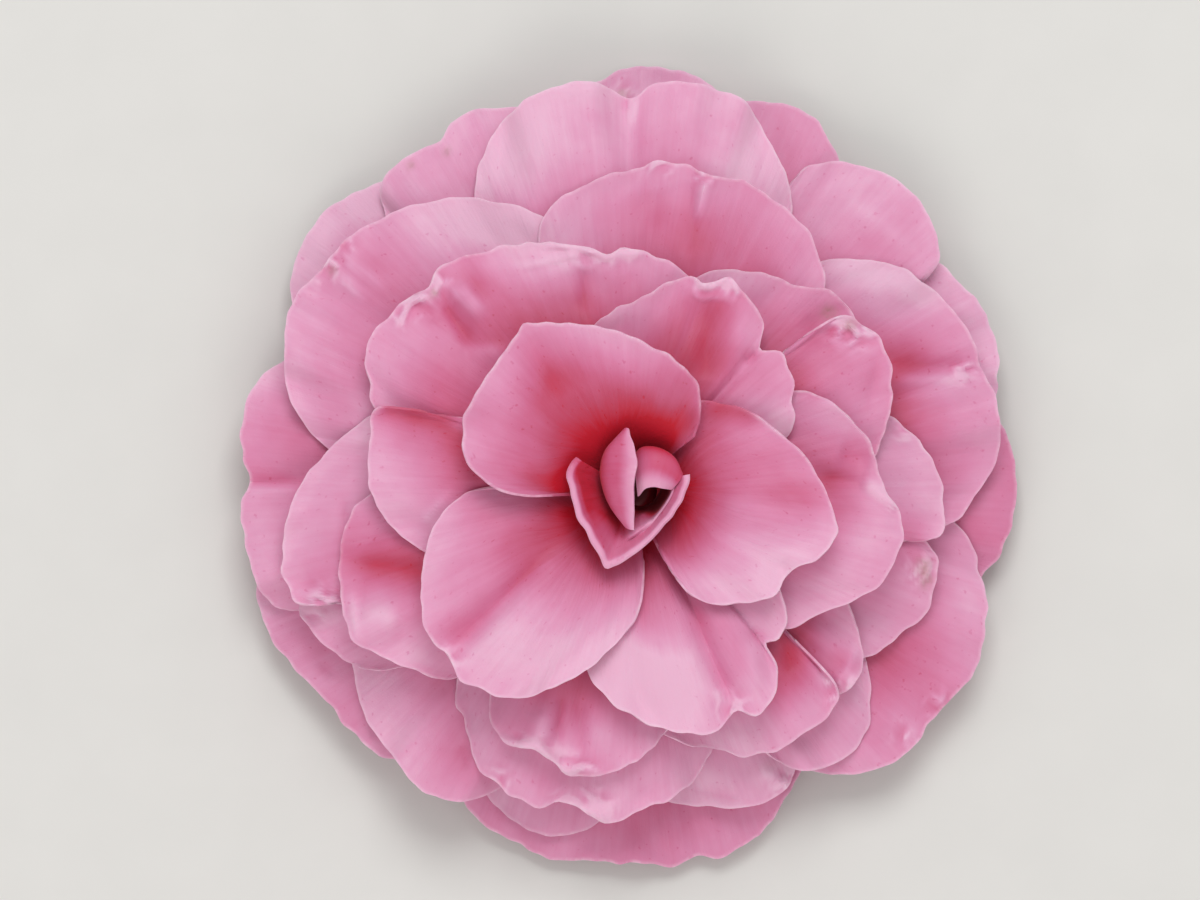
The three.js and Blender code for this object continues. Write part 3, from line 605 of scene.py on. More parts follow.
petal("outer_petal_2", level=2.3, lift=0.4, cup=0.1, folds=[(19, -1.2, 4), (23, 0.7, 3)], tone_and_shade=0.05,
    pale=16,
    margin=[(348, 28), (351, 36), (355, 41.7), (359, 43.7), (362, 45.6), (366, 46.9), (371, 47.7),
    (375, 47.7), (379, 47.2), (385, 47.3), (389, 46.9), (394, 45.9), (399, 44.6), (404, 41.9),
    (410, 37.8), (414, 32), (418, 25)],
    creases=[(33.3, 15.9, 42.3, 15.6, -1.8, 1.7), (33.9, 13.8, 42.8, 14.3, 0.9, 1.1),
    (34.8, 11.6, 41.8, 12.4, 0.4, 1)],
    crumples=[(42.2, 15.2, 1.6, 1.4)],
    blushes_and_painted_light=[(34.8, 15.8, 4, 0.2), (34.2, 7.6, 6, 0.05), (34.2, 25.3, 5, -0.06), (38, 2.5, 6, 0.05),
    (31.2, 24.5, 4.3, -0.18), (27.1, 29.1, 4.4, -0.11), (37.3, 25.8, 2.7, -0.24),
    (40.5, 8.2, 5, -0.08)])
petal("outer_petal_5", level=2.5, root=309, lift=0.2,
    margin=[(292, 27), (296, 35.5), (301, 41.4), (305, 42.9), (309, 43.5), (313, 43.2), (317, 41.6),
    (320, 39.7), (324, 37), (329, 32), (333, 25)])
petal("outer_petal_6", level=2.5, lift=-0.2, cup=0.1, tone_and_shade=-0.02,
    margin=[(200, 32), (206, 39), (212, 41.5), (216, 42.8), (220, 44), (225, 44.8), (229, 45.3),
    (233, 46.1), (237, 46), (241, 45.1), (245, 42.5), (249, 38), (252, 30)],
    creases=[(-21.3, -31.9, -20.5, -35.7, -0.6, 1)],
    blushes_and_painted_light=[(-21.2, -35.1, 4.5, 0.22)])
petal("outer_petal_4", level=2.95, lift=0.3, cup=-0.2, folds=[(90, -0.9, 3)], tone_and_shade=-0.03,
    margin=[(54, 28), (57, 36), (60, 41), (63, 44), (67, 46.8), (71, 49.4), (74, 51.5), (78, 52),
    (82, 52.2), (87, 51.3), (90, 49.6), (93, 51), (96, 51.9), (101, 51.9), (105, 51.1), (109, 49.4),
    (113, 46.9), (116, 44.3), (119, 40.5), (121, 35), (123, 27)],
    creases=[(0.3, 49.6, 0.3, 46.3, 0.6, 0.5), (-0.3, 50.1, -0.8, 47.8, -0.6, 0.7),
    (-8.9, 50.4, 1.3, 51.4, 0.4, 0.8)],
    blushes_and_painted_light=[(5.1, 45.6, 6, 0.1), (-13.9, 43, 4, -0.06), (-11.4, 38, 5, -0.072),
    (-15.2, 46.5, 3.5, -0.2), (-3.8, 40.8, 5, -0.08), (-8.9, 38.6, 5, -0.08),
    (12.6, 39.9, 4, -0.22)])
petal("outer_petal_3", level=3.2, tone_and_shade=0.06,
    margin=[(190, 33), (195, 40.5), (199, 44.2), (203, 44.3), (206, 43.6), (211, 42), (215, 39.8),
    (219, 35), (222, 28)],
    creases=[(-46.6, -13.9, -41.8, -16.7, 0.5, 0.6)],
    crumples=[(-39.9, -14.7, 1.6, 1.2)],
    blushes_and_painted_light=[(-38.6, -15.2, 3, -0.14)])
petal("outer_petal_1", level=3.5, cup=-0.1, folds=[(147, -0.7, 4)], tone_and_shade=-0.03,
    margin=[(94, 24), (100, 31), (108, 36.4), (111, 38.4), (116, 40.8), (120, 42.8), (125, 44.4),
    (129, 45.9), (136, 47.3), (140, 48.1), (145, 48.1), (151, 49), (158, 47.2), (163, 45.4),
    (167, 43.2), (171, 39.9), (175, 34.5), (179, 26)],
    creases=[(-37.2, 27.6, -33.9, 24.3, 0.6, 0.6), (-36.1, 28.9, -31.1, 25.9, 0.4, 0.8)],
    crumples=[(-38.6, 28.4, 2.2, 1.6), (-36.5, 30.9, 1.6, 1)],
    bruises=[(-37.7, 27.8, 0.6)],
    blushes_and_painted_light=[(-34.8, 29.1, 5, 0.16), (-31, 27.6, 4, 0.1), (-16.5, 33.2, 5, -0.108),
    (-19, 36.1, 5, -0.06), (-11.4, 31, 4, -0.072), (-13.6, 32.9, 3.5, -0.12),
    (-33.5, 10.5, 3, -0.17), (-24.1, 30.6, 4, -0.1), (-19, 31.3, 4, -0.08), (-34.2, 17.7, 3, -0.08),
    (-38, 7.6, 4, 0.1)])


# ---- Middle petals ----
# The same tissue, shorter and more cupped. Each lies on the outer ones and grows from the
# receptacle above them.

petal("middle_petal_12", level=3.15, root=349, lift=-0.2, folds=[(345, 0.5, 3)], tone_and_shade=0.03,
    margin=[(314, 26), (318, 31.5), (324, 36.4), (332, 38.8), (337, 40.6), (342, 40.4), (347, 40),
    (350, 38.2), (354, 34), (358, 27)],
    crumples=[(37, -10.1, 2, 1.5)],
    bruises=[(37.1, -9.7, 1.1), (37.5, -11.6, 0.9)],
    blushes_and_painted_light=[(34.8, -5.7, 3, 0.14)])
petal("middle_petal_8", level=3.6, lift=0.2, cup=0.2, folds=[(258, -0.7, 3)], tone_and_shade=0.02, frill=1.6,
    margin=[(221, 24), (225, 29), (229, 33.6), (234, 36.2), (238, 38.1), (242, 40.2), (246, 40.8),
    (250, 41.6), (255, 41.5), (259, 40.3), (263, 41.4), (266, 42.1), (272, 40.8), (277, 39.6),
    (282, 37.5), (286, 35.5), (291, 31), (296, 25)],
    creases=[(-9.4, -40, -6.8, -40, 0.6, 0.6), (-6.8, -39.7, -2.8, -41.8, 0.8, 0.6),
    (-3.3, -38, -3.8, -40, -0.5, 0.8)],
    crumples=[(-4.8, -40.5, 2.2, 1.6), (-8.9, -40, 1.6, 1.2), (-16.5, -36.7, 1.4, 0.9)],
    blushes_and_painted_light=[(14.1, -29.5, 3.5, -0.51), (-8.9, -36.7, 3, 0.12), (-5.7, -31.6, 4, -0.1),
    (-2.3, -37.5, 3, -0.1), (-8.9, -40, 1.4, -0.25), (-5.1, -41.5, 1.4, -0.25),
    (13.9, -33.5, 3, 0.12)])
petal("middle_petal_7", level=3.8, root=14, lift=0.3, cup=0.1, tone_and_shade=-0.02, frill=1.3,
    margin=[(348, 28), (349, 33), (350, 37), (352, 40), (356, 40), (360, 39.5), (365, 38.7),
    (369, 37.2), (374, 35.2), (378, 32.5), (382, 28), (386, 22)],
    creases=[(34.4, -6.3, 39.5, -7, -0.8, 0.8), (33.5, 8.2, 34.8, 6.3, 0.4, 0.6)],
    crumples=[(34.4, 7.6, 1.2, 0.6)],
    blushes_and_painted_light=[(34.8, -5.4, 3, 0.24), (34.2, 7.6, 3, 0.1), (32.3, -10.8, 3, 0.1),
    (39.2, 1.3, 3, 0.08)])
petal("middle_petal_9", level=3.85, root=321, lift=0.3, tone_and_shade=0.05, pale=10,
    margin=[(306, 26), (310, 32), (314, 36.2), (318, 37.5), (323, 36.8), (327, 34.8), (332, 31.4),
    (337, 27.5), (341, 22)],
    creases=[(22.3, -19, 27.3, -22.5, -1, 2), (27.3, -23.5, 28.9, -19, 0.3, 0.6)],
    crumples=[(27.8, -24.6, 1.5, 1.1)],
    blushes_and_painted_light=[(20.6, -25, 3, 0.46), (24.1, -19.2, 3, -0.25), (27.2, -22.5, 2, 0.14),
    (21.1, -19, 2.6, 0.2)])
petal("middle_petal_10", level=4.2, lift=0.2, cup=0.1, tone_and_shade=-0.08, frill=1.5,
    margin=[(154, 23), (158, 29), (163, 33.6), (167, 35.8), (172, 38.3), (178, 41.2), (183, 43.1),
    (188, 44.3), (194, 45.1), (199, 44), (201, 40.5), (203, 36), (205, 29)],
    creases=[(-36.1, -1.3, -35.2, -8.9, -0.6, 0.8), (-39.5, -13.4, -36.7, -14.7, 0.6, 0.6)],
    crumples=[(-38.6, -13.9, 2.2, 1.4)],
    blushes_and_painted_light=[(-41.8, -12, 4, 0.16), (-37.3, -6.3, 4, 0.1), (-39.2, -8.9, 4, 0.08),
    (-35.4, -13.9, 3, 0.08), (-36.1, 4.4, 4, 0.12), (-41.1, -1.3, 5, 0.08),
    (-38.6, -12.9, 2.4, 0.12)])
petal("middle_petal_11", level=4.2, lift=0.4, cup=-0.1, folds=[(76, 0.9, 3)], tone_and_shade=0.08, pale=13,
    margin=[(38, 25), (42, 31), (47, 36.3), (50, 37.4), (53, 38.9), (57, 40.2), (61, 40.7),
    (66, 41.2), (70, 41.6), (77, 41.2), (80, 41.8), (86, 41.6), (88, 40.8), (94, 40), (99, 38.9),
    (104, 37.8), (108, 35.8), (112, 31.5), (116, 25)],
    creases=[(8, 39.2, 8.1, 29.7, -1, 1.5), (9.6, 39.2, 8.5, 34.4, 0.8, 0.6),
    (2.5, 38, 3.2, 32.9, -0.4, 2)],
    crumples=[(3.8, 41.3, 1.6, 1), (9.4, 39.7, 1.2, 1.1)],
    blushes_and_painted_light=[(8.9, 32.9, 4, 0.1), (-3.8, 31, 6, -0.14), (15.2, 34.8, 4, 0.1),
    (-8.9, 30.4, 4, -0.14), (-0.6, 36.7, 5, 0.1), (3.8, 30.4, 4, -0.08), (11.4, 27.8, 5, -0.1),
    (2.5, 40.8, 4, -0.08)])
petal("middle_petal_5", level=4.5, root=284, lift=0.3, tone_and_shade=0.04, pale=13, frill=1.4,
    margin=[(268, 22), (273, 28), (278, 31.1), (283, 33.2), (289, 34.8), (293, 36.6), (298, 37.6),
    (305, 37.7), (310, 38.2), (314, 37.6), (316.5, 36), (317.2, 33), (317.6, 29), (318, 24)],
    creases=[(19.2, -19.6, 20.5, -23, -0.9, 1.4), (21.5, -20.9, 25.8, -24.8, 0.5, 0.6)],
    ledges=[(26.1, -24.6, 21.1, -20.9, 0.5, 1.3)],
    crumples=[(25.6, -25.3, 1.4, 1)],
    blushes_and_painted_light=[(17.7, -25.3, 3, 0.1), (22.2, -22.5, 2, 0.14), (14.2, -29.4, 4, -0.18),
    (20.3, -25.3, 3, 0.1), (20.3, -18.7, 2.2, 0.2), (22.3, -20.6, 2, 0.16), (20, -23, 2.6, 0.08)])
petal("middle_petal_6", level=5, root=61, lift=0.3, tone_and_shade=0.06, pale=14,
    margin=[(20, 24), (26, 30.5), (32, 34.6), (39, 36), (45, 35.5), (50, 33.7), (59, 32), (68, 30),
    (74, 27.6), (80, 24), (86, 19)],
    creases=[(21.5, 20, 27.8, 23.5, -1, 1.6)],
    bruises=[(25.1, 22.5, 1)],
    blushes_and_painted_light=[(17.7, 24.1, 4, 0.12), (11.4, 25.9, 4, -0.12), (16.5, 27.2, 4, -0.1)])
petal("middle_petal_2", level=5.2, lift=-0.1, folds=[(250, 0.7, 3), (257, -0.7, 3)], tone_and_shade=0.06,
    pale=12, frill=1.8,
    margin=[(231, 27), (236, 32), (242, 35.2), (247, 35.5), (251, 35), (256, 36.3), (262, 36.4),
    (266, 36.2), (272, 33.9), (278, 31.1), (283, 28), (288, 23)],
    creases=[(-8.6, -25.8, -9.4, -31.9, -1.2, 0.8), (-6.6, -26.8, -5.8, -33.5, -0.7, 1),
    (-16.2, -31.6, -12.4, -32.4, 0.8, 0.6), (-12.4, -31.4, -9.4, -34.4, 0.9, 0.6),
    (-9.4, -34.7, -3.5, -35.6, 0.8, 0.6), (-10.8, -28.1, -11.6, -31.4, 0.4, 0.7)],
    crumples=[(-13.9, -33.2, 2, 1.6), (-10.1, -34.4, 2.2, 1.6), (-6.3, -35.2, 1.6, 1.2)],
    blushes_and_painted_light=[(-7.6, -25.3, 3, 0.1), (-15.2, -30.6, 3, 0.1), (-1.3, -36.7, 3, -0.1),
    (-4.3, -31, 3.5, -0.22), (-3.8, -35.4, 2.5, 0.2), (-5.1, -25.3, 2.5, -0.08),
    (-13.9, -33.2, 1.3, -0.25), (-10.8, -34.6, 1.3, -0.3)])
petal("middle_petal_3", level=5.7, root=14, lift=0.3, folds=[(37, -0.7, 4)], tone_and_shade=0.1, pale=14,
    frill=1.3,
    margin=[(0, 23), (4, 28), (8, 31.4), (11, 32.3), (16, 34), (21, 35.6), (27, 36.8), (31, 36.9),
    (35, 36), (39, 35.1), (41, 31), (42, 26), (43, 21)],
    creases=[(26.3, 22.5, 30.1, 19, 0.7, 0.6), (31.6, 17.7, 30.1, 11.4, -0.5, 1.2)],
    crumples=[(26.8, 20.9, 2.4, 1.6), (29.4, 19.6, 1.8, 1.2)],
    bruises=[(27.8, 20.9, 0.8)],
    blushes_and_painted_light=[(24.1, 20.9, 3, 0.16), (24.7, 12.9, 3, -0.14), (27.8, 11.4, 3, -0.12),
    (27.2, 21.8, 1.3, -0.25)])
petal("middle_petal_4", level=5.8, lift=0.2, cup=0.2, folds=[(203, -1, 4)], tone_and_shade=0.04, frill=1.3,
    margin=[(173, 24), (177, 29), (181, 33), (184, 34.9), (188, 36.4), (194, 38), (199, 38.8),
    (204, 39.6), (209, 39.7), (213, 37.9), (217, 36.6), (223, 34.7), (227, 32.5), (231, 28),
    (234, 23)],
    creases=[(-37.5, -8.5, -24.6, -10.6, -1.3, 1.7), (-33.9, -15.4, -29.1, -16.2, 0.8, 2.4),
    (-35.2, -12.7, -34.4, -19, 0.5, 0.7)],
    blushes_and_painted_light=[(-38, -5.1, 4, 0.12), (-36.7, -7, 4, 0.1), (-26.8, -10.8, 2.5, 0.15),
    (-32.7, -9.6, 4, 0.14), (-29.7, -7.3, 3.5, 0.12), (-27.8, -20.9, 3, -0.1),
    (-27.6, -9.1, 3, 0.1), (-31.9, -9.5, 2.6, 0.14)])
petal("middle_petal_1", level=6.5, lift=0.5, cup=0.2, folds=[(1, -0.7, 5)], tone_and_shade=0.02, pale=16,
    margin=[(312, 19), (316, 24), (319, 26.7), (327, 28.6), (333, 31.1), (338, 33.4), (343, 34.4),
    (348, 34.9), (354, 34.6), (359, 32.6), (364, 31.6), (372, 30.8), (378, 29.2), (384, 27.7),
    (390, 25), (396, 20)],
    creases=[(26.3, 4.8, 30.6, 3.5, -1.5, 2.2), (29.4, 1, 33.7, -1.9, 1, 1.1),
    (24.1, 2, 30.1, 0.8, -0.8, 1.2)],
    crumples=[(33.3, -0.9, 1.4, 1)],
    blushes_and_painted_light=[(27.2, 5.1, 3, 0.1), (20.3, 4.4, 4, 0.06), (27.2, -0.6, 4, 0.2),
    (32.3, -1.9, 3.5, 0.08), (27.8, -10.1, 5, -0.08), (24.7, -7, 4, -0.08), (22.8, 12, 2.5, 0.16),
    (22.2, 5.7, 3, 0.1), (31.6, -10.1, 3, 0.12), (29.7, -4.8, 3, -0.1), (24.7, 1.3, 2.2, 0.2),
    (30.6, -1.3, 2.4, -0.06)])


# ---- Inner petals ----
# The seven that stand up round the eye. They are the last to open, so they are the deepest pink at
# their roots, which also carry painted shade from the funnel round the eye.

petal("inner_petal_7", level=6.8, cup=-0.2, folds=[(140, -0.9, 5), (104, 0.6, 3)], tone_and_shade=0.06,
    pale=12, frill=1.5,
    margin=[(62, 18), (69, 24), (75, 28.1), (84, 29.8), (90, 30.6), (95, 30.1), (101, 31.3),
    (110, 33.2), (118, 34.8), (126, 36.4), (131, 37), (135, 36.2), (140, 37.3), (149, 37.8),
    (154, 37.2), (158, 35.8), (162, 34), (166, 29), (170, 23)],
    creases=[(-24.1, 24.4, -19.9, 18.6, -1.2, 1.5), (-21.3, 26.1, -18.5, 22.2, 0.8, 0.9),
    (-14.1, 28, -5.6, 30, 0.5, 0.7), (-5.9, 28.1, -5.9, 22.5, -0.9, 1.1),
    (-5.6, 29.9, 1.3, 29.9, 0.7, 0.8), (-22.4, 25.6, -19.2, 22.3, 0.7, 0.8)],
    ledges=[(-15.6, 18.2, -21.1, 18.1, 1.2, 1.6), (-21.1, 18.1, -24.1, 23.7, 1.2, 1.6),
    (-5.1, 29.1, -13.7, 27.3, 0.8, 1.4)],
    crumples=[(-25.6, 25.3, 2.6, 2), (-28.1, 23.7, 1.6, 1.2), (-5.7, 30.1, 1.6, 1.4),
    (-1.5, 30.4, 1.8, 1.4), (-8.9, 30.4, 1.6, 1.1), (-27.1, 24.6, 1.1, 1.1), (-24.1, 27.1, 1, 1),
    (-28.9, 21.8, 1, 0.9)],
    bruises=[(-24.8, 24.8, 0.5)],
    blushes_and_painted_light=[(-6.3, 22.5, 6, 0.1), (-19.2, 18.4, 4, -0.084), (-20.9, 27.8, 3, 0.16),
    (-25.3, 22.8, 2, 0.12), (-26.6, 19, 4, -0.06), (-25.9, 28.1, 2.7, -0.14),
    (-25.3, 15.8, 5, -0.072), (-8.9, 26.6, 4, -0.06), (-19, 25.3, 2, 0.16), (-24.4, 21.5, 2, 0.14),
    (-27.2, 26.6, 2, -0.072), (-13.9, 31, 4, -0.12), (-9.4, 29.6, 3, -0.14),
    (-20.3, 16.2, 4, -0.12), (-8.2, 30.4, 1.6, -0.28), (-3.8, 30.6, 1.6, -0.25),
    (-1, 30.3, 1.4, -0.2), (-20.3, 25.6, 2, 0.12), (-24.4, 24.1, 1.6, 0.12)])
petal("inner_petal_6", level=7.3, lift=0.6, cup=0.2, folds=[(295, -0.7, 4)], tone_and_shade=-0.05, pale=20,
    sink=2.5,
    margin=[(246, 16), (251, 20.5), (257, 23.7), (262, 25.9), (269, 27.9), (277, 30.4), (284, 31.6),
    (289, 32.6), (293.5, 31.3), (296, 31), (299, 32.7), (303, 32.3), (307, 30.8), (309.8, 29),
    (311.5, 25.8), (315, 26.6), (320, 25.8), (325, 23.5), (330, 20), (334, 16)],
    creases=[(5.3, -8.9, 13.2, -27.3, -1.6, 1.3), (10.4, -25.3, 12.9, -27.3, 0.5, 0.6),
    (17.1, -19, 14.9, -17.7, -0.7, 0.8), (14.9, -19, 15.9, -25.3, 0.5, 1.6)],
    crumples=[(13, -27.6, 1.8, 1.2)],
    blushes_and_painted_light=[(4.5, -23, 6, -0.3), (-1.3, -20.3, 4, -0.1), (13.9, -22.8, 3, 0.12),
    (-5.1, -31.6, 4, -0.1), (15.4, -22.2, 3, 0.1), (12.7, -19, 3, 0.08), (1.3, -25.3, 5, -0.06),
    (3.2, -24.1, 4, -0.08), (-3.8, -32.3, 3, -0.08), (7.6, -13.9, 2.8, -0.2),
    (10.4, -19, 2.5, -0.1), (10.8, -26.6, 3, 0.08), (4.1, -9.1, 3, -0.16)])
petal("inner_petal_5", level=7.6, lift=0.2, cup=0.3, tone_and_shade=0.04, pale=16,
    margin=[(148, 15), (154, 20), (158, 25), (160, 30), (162.5, 33.9), (169, 33.5), (175, 33.3),
    (180, 32.7), (186, 31.2), (191, 29.7), (197, 26.8), (203, 23), (208, 18)],
    creases=[(-21.4, -0.9, -25.1, -5.2, 0.6, 0.7), (-22.9, -0.3, -26.1, -4.1, 0.5, 0.6),
    (-32.2, 10.1, -21.8, 8.4, -1, 1.6), (-32.7, 10.8, -31.1, 9.9, 0.5, 0.6)],
    blushes_and_painted_light=[(-30.6, 10.4, 2, 0.35), (-27.2, 10.4, 2.2, 0.4), (-23.4, 10.1, 2.4, 0.4),
    (-20.9, 5.1, 4, 0.2), (-29.7, 1.3, 4, -0.1), (-27.6, 6.3, 3, 0.1)])
petal("inner_petal_4", level=8.1, lift=0.5, folds=[(48, -0.6, 4)], tone_and_shade=0.12, pale=11, frill=1.4,
    margin=[(7, 15), (12, 18.5), (18, 20.6), (20, 21.9), (29, 23.6), (37, 25.3), (43, 25.8),
    (47, 24.2), (51, 26.8), (57, 28.1), (65, 29.5), (70, 27.7), (73, 28.3), (77, 27.3), (84, 25.2),
    (93, 23.1), (104, 21), (110, 18), (114, 14)],
    creases=[(9.6, 24.4, 9.4, 13.9, -1.5, 2.4), (13.9, 24.4, 13.7, 17.7, 0.5, 1.6),
    (16.1, 17.3, 14.2, 16.2, -0.9, 0.8), (1.3, 24.1, -3.8, 20.3, 0.3, 1.5)],
    crumples=[(9.6, 25.9, 1.8, 1.6), (13, 25.6, 1.6, 1.4)],
    blushes_and_painted_light=[(12, 23.4, 3, 0.2), (7.6, 22.8, 3, 0.1), (16.1, 14.6, 3.5, -0.06),
    (11.1, 11.6, 2.4, -0.16), (14.2, 11.6, 2.4, -0.12), (18.4, 14.6, 3, 0.08),
    (17.7, 9.5, 2.5, -0.2), (14.6, 10.4, 2.4, -0.14), (19.6, 7.6, 2, -0.16),
    (9.2, 26.5, 1.2, -0.35), (12, 25.9, 1.3, -0.35)])
petal("inner_petal_3", level=8.6, lift=0.6, cup=0.2, folds=[(221, -1.1, 5)], tone_and_shade=0.02, pale=18,
    sink=2,
    margin=[(176, 12), (178.5, 17), (181.4, 21), (187, 23.8), (192, 25.7), (197, 27), (201, 28.2),
    (207, 29.7), (212, 30.7), (218, 31.5), (222, 31), (228, 32.1), (233, 31.6), (239, 30.6),
    (244, 28.9), (250, 26.2), (257, 23.1), (264, 19.7), (272, 16.5), (277, 12.8), (281, 9)],
    creases=[(-11, -8.5, -22.8, -21, -1.3, 1.8)],
    ledges=[(-8.2, -6.3, -22.8, -21, 0.9, 3.4)],
    crumples=[(-22.9, -21.3, 1.6, 1.2)],
    blushes_and_painted_light=[(-20.8, -17, 2, 0.1), (-12, -19, 6, -0.14), (-5.1, -8.9, 4, -0.14),
    (-16.5, -3.4, 4, 0.06), (-13.9, -13.9, 4, -0.1), (-13.9, -15.8, 5, -0.12),
    (-6.3, -19, 5, -0.08), (-20.3, -1.6, 3, 0.2), (-1.9, -13.9, 2.5, 0.1), (-13.3, -17.1, 3, 0.06),
    (-23.4, -17.7, 2.5, 0.1)])
petal("inner_petal_2", level=9.3, lift=0.5, tone_and_shade=0.02, pale=16, sink=2,
    margin=[(-64, 7.5), (-63, 11.7), (-60, 15), (-55, 17.5), (-47, 19.6), (-40, 21.6), (-34, 22.8),
    (-27, 22.8), (-24, 23.5), (-19, 25.4), (-11, 26.8), (-8.8, 26.5), (-3, 25.3), (5, 23.5),
    (13, 22.1), (19, 20.7), (30, 18.6), (42, 16.2), (52, 14.4), (60, 12), (66, 9)],
    creases=[(11.6, -1.9, 25.1, -3.4, 0.7, 2.6), (14.6, 11.1, 16.5, 9.4, 0.4, 0.6),
    (17.5, 8.4, 19.7, 6.7, 0.35, 0.7), (20.6, -10.5, 18.7, -9.1, -0.5, 0.8)],
    blushes_and_painted_light=[(13.9, -9.5, 5, -0.1), (9.4, 10.9, 3, 0.35), (12.4, 10.4, 2.4, 0.28),
    (15.1, 9.7, 1.9, 0.4), (10.8, -3.8, 4, -0.12), (20.9, -0.6, 4, 0.3), (16.5, 5.1, 4, 0.16),
    (21.5, 5.1, 3, 0.14), (23.2, -1.6, 3, 0.22), (10.4, 1.3, 3, -0.1), (17.7, -6.3, 4, -0.06),
    (17.7, -1.3, 4, 0.15), (13.3, 4.4, 3, 0.1), (10.4, 7, 3, 0.2), (11.6, 11.1, 2, 0.15),
    (18.4, 6.3, 2, 0.1), (18.6, -11, 2.2, -0.22)])
petal("inner_petal_1", level=10.2, lift=1, cup=0.6, tone_and_shade=0.02, pale=9, sink=1,
    margin=[(40, 10.5), (46, 12.8), (52, 14.4), (57, 15.8), (68, 17), (82, 18.5), (94, 19.9),
    (104, 21.4), (113, 22.8), (120, 24.4), (123, 25), (126, 24.4), (132, 23.6), (147, 23),
    (156, 22.9), (163, 22.2), (170, 20.9), (175, 19), (180, 16.5), (183, 13.3), (184, 10)],
    creases=[(-12.9, 19.6, -8.6, 11.6, -0.9, 2.4)],
    blushes_and_painted_light=[(-13.3, 5.1, 4, -0.12), (-5.1, 15.4, 4, 0.08), (1.3, 13.3, 3, 0.08),
    (7.8, 9.5, 2.5, 0.35), (4.8, 15.4, 3, 0.22), (-16.5, 1.5, 3.5, 0.1), (-8.9, 11.4, 5, 0.08),
    (-12.7, 19.6, 4, 0.08), (-13.9, 12.7, 5, 0.06), (-12.7, 0.5, 2.2, 0.08), (-8.9, 0.3, 2.4, 0.1),
    (7.6, 13.3, 2.5, 0.3), (-19, 8.9, 3, 0.1), (-18.1, 2.5, 3, 0.12), (-14.6, 0, 2.4, 0.12),
    (-20.3, 11.4, 3, 0.06), (3.2, 6.3, 3, 0.2), (7.6, 8.2, 2.5, 0.12)])


# ---- Eye: three small petals that have not opened ----
# A cup folded along its keel, a leaf that stands on edge in it and a hood that bends over the hole
# beside it. The same tissue as the petals, but crimson, with a wide pale margin that is partly
# painted highlight.

petal_tissue("camellia bud petal",
             ((0.0, "#e9abc9"), (0.25, "#de8cb2"), (0.5, "#cf5c84"), (0.75, "#c8223f"),
              (1.0, "#6e0816")), "#f0bfd6", 0.8)
bud_tissue = bpy.data.materials["camellia bud petal"]
CUP_MARGIN = [(149, 7.9), (155, 8.2), (163, 8.2), (181, 7.5), (207, 7.4), (230, 7.9), (247, 9.4),
              (253, 10.3), (258, 9.7), (267, 8.7), (290, 6.9), (327, 6.1), (353, 6.8), (369, 7.5),
              (375, 7.7)]
CUP_ROOT_RADIUS = 1.7
CUP_PROFILE = [(0, 15.8), (0.26, 18.6), (0.5, 21.4), (0.72, 23.5), (0.87, 25), (0.94, 25.5),
               (1, 25.2)]  # the share of the way out to the margin, and the height there
HOLE_PROFILE = [(0, 15.8), (0.28, 17.8), (0.5, 19.5), (0.62, 20.8), (0.68, 22.4), (0.73, 23.9),
                (0.87, 25), (0.94, 25.5), (1, 25.2)]  # on its longer side, beside the hole
CUP_WALL_RUN = 5  # what the way out counts for in a profile's length
CUP_TIP_DROP = 1.2  # at its two tips
CUP_LEAN = 30  # degrees from the middle of the cup round to its claw
CUP_FOLD = (3.2, 0.55, 0.8)  # a second ridge along its longer side: inset, half width, height
CUP_LEDGE = 1.6  # the height of the ledge that closes the hole near the keel
DEEPEST_WALL = 0.76  # the most pigment outside the hole
# the next is painted shade: how much darker the hole beside the keel is painted
HOLE_PAINTED_SHADE = 0.35  # what comes on top of it in there

cup_line, cup_run = curve_through([polar(*knot) for knot in CUP_MARGIN])
(wall_line, wall_run), (hole_line, hole_run) = (
    curve_through([Vector((share * CUP_WALL_RUN, height, 0)) for share, height in profile])
    for profile in (CUP_PROFILE, HOLE_PROFILE))
cup_middle = (CUP_MARGIN[0][0] + CUP_MARGIN[-1][0]) / 2
cup_claw = CLAW_HALF_WIDTH / CUP_ROOT_RADIUS / math.radians(CUP_MARGIN[-1][0] - cup_middle)


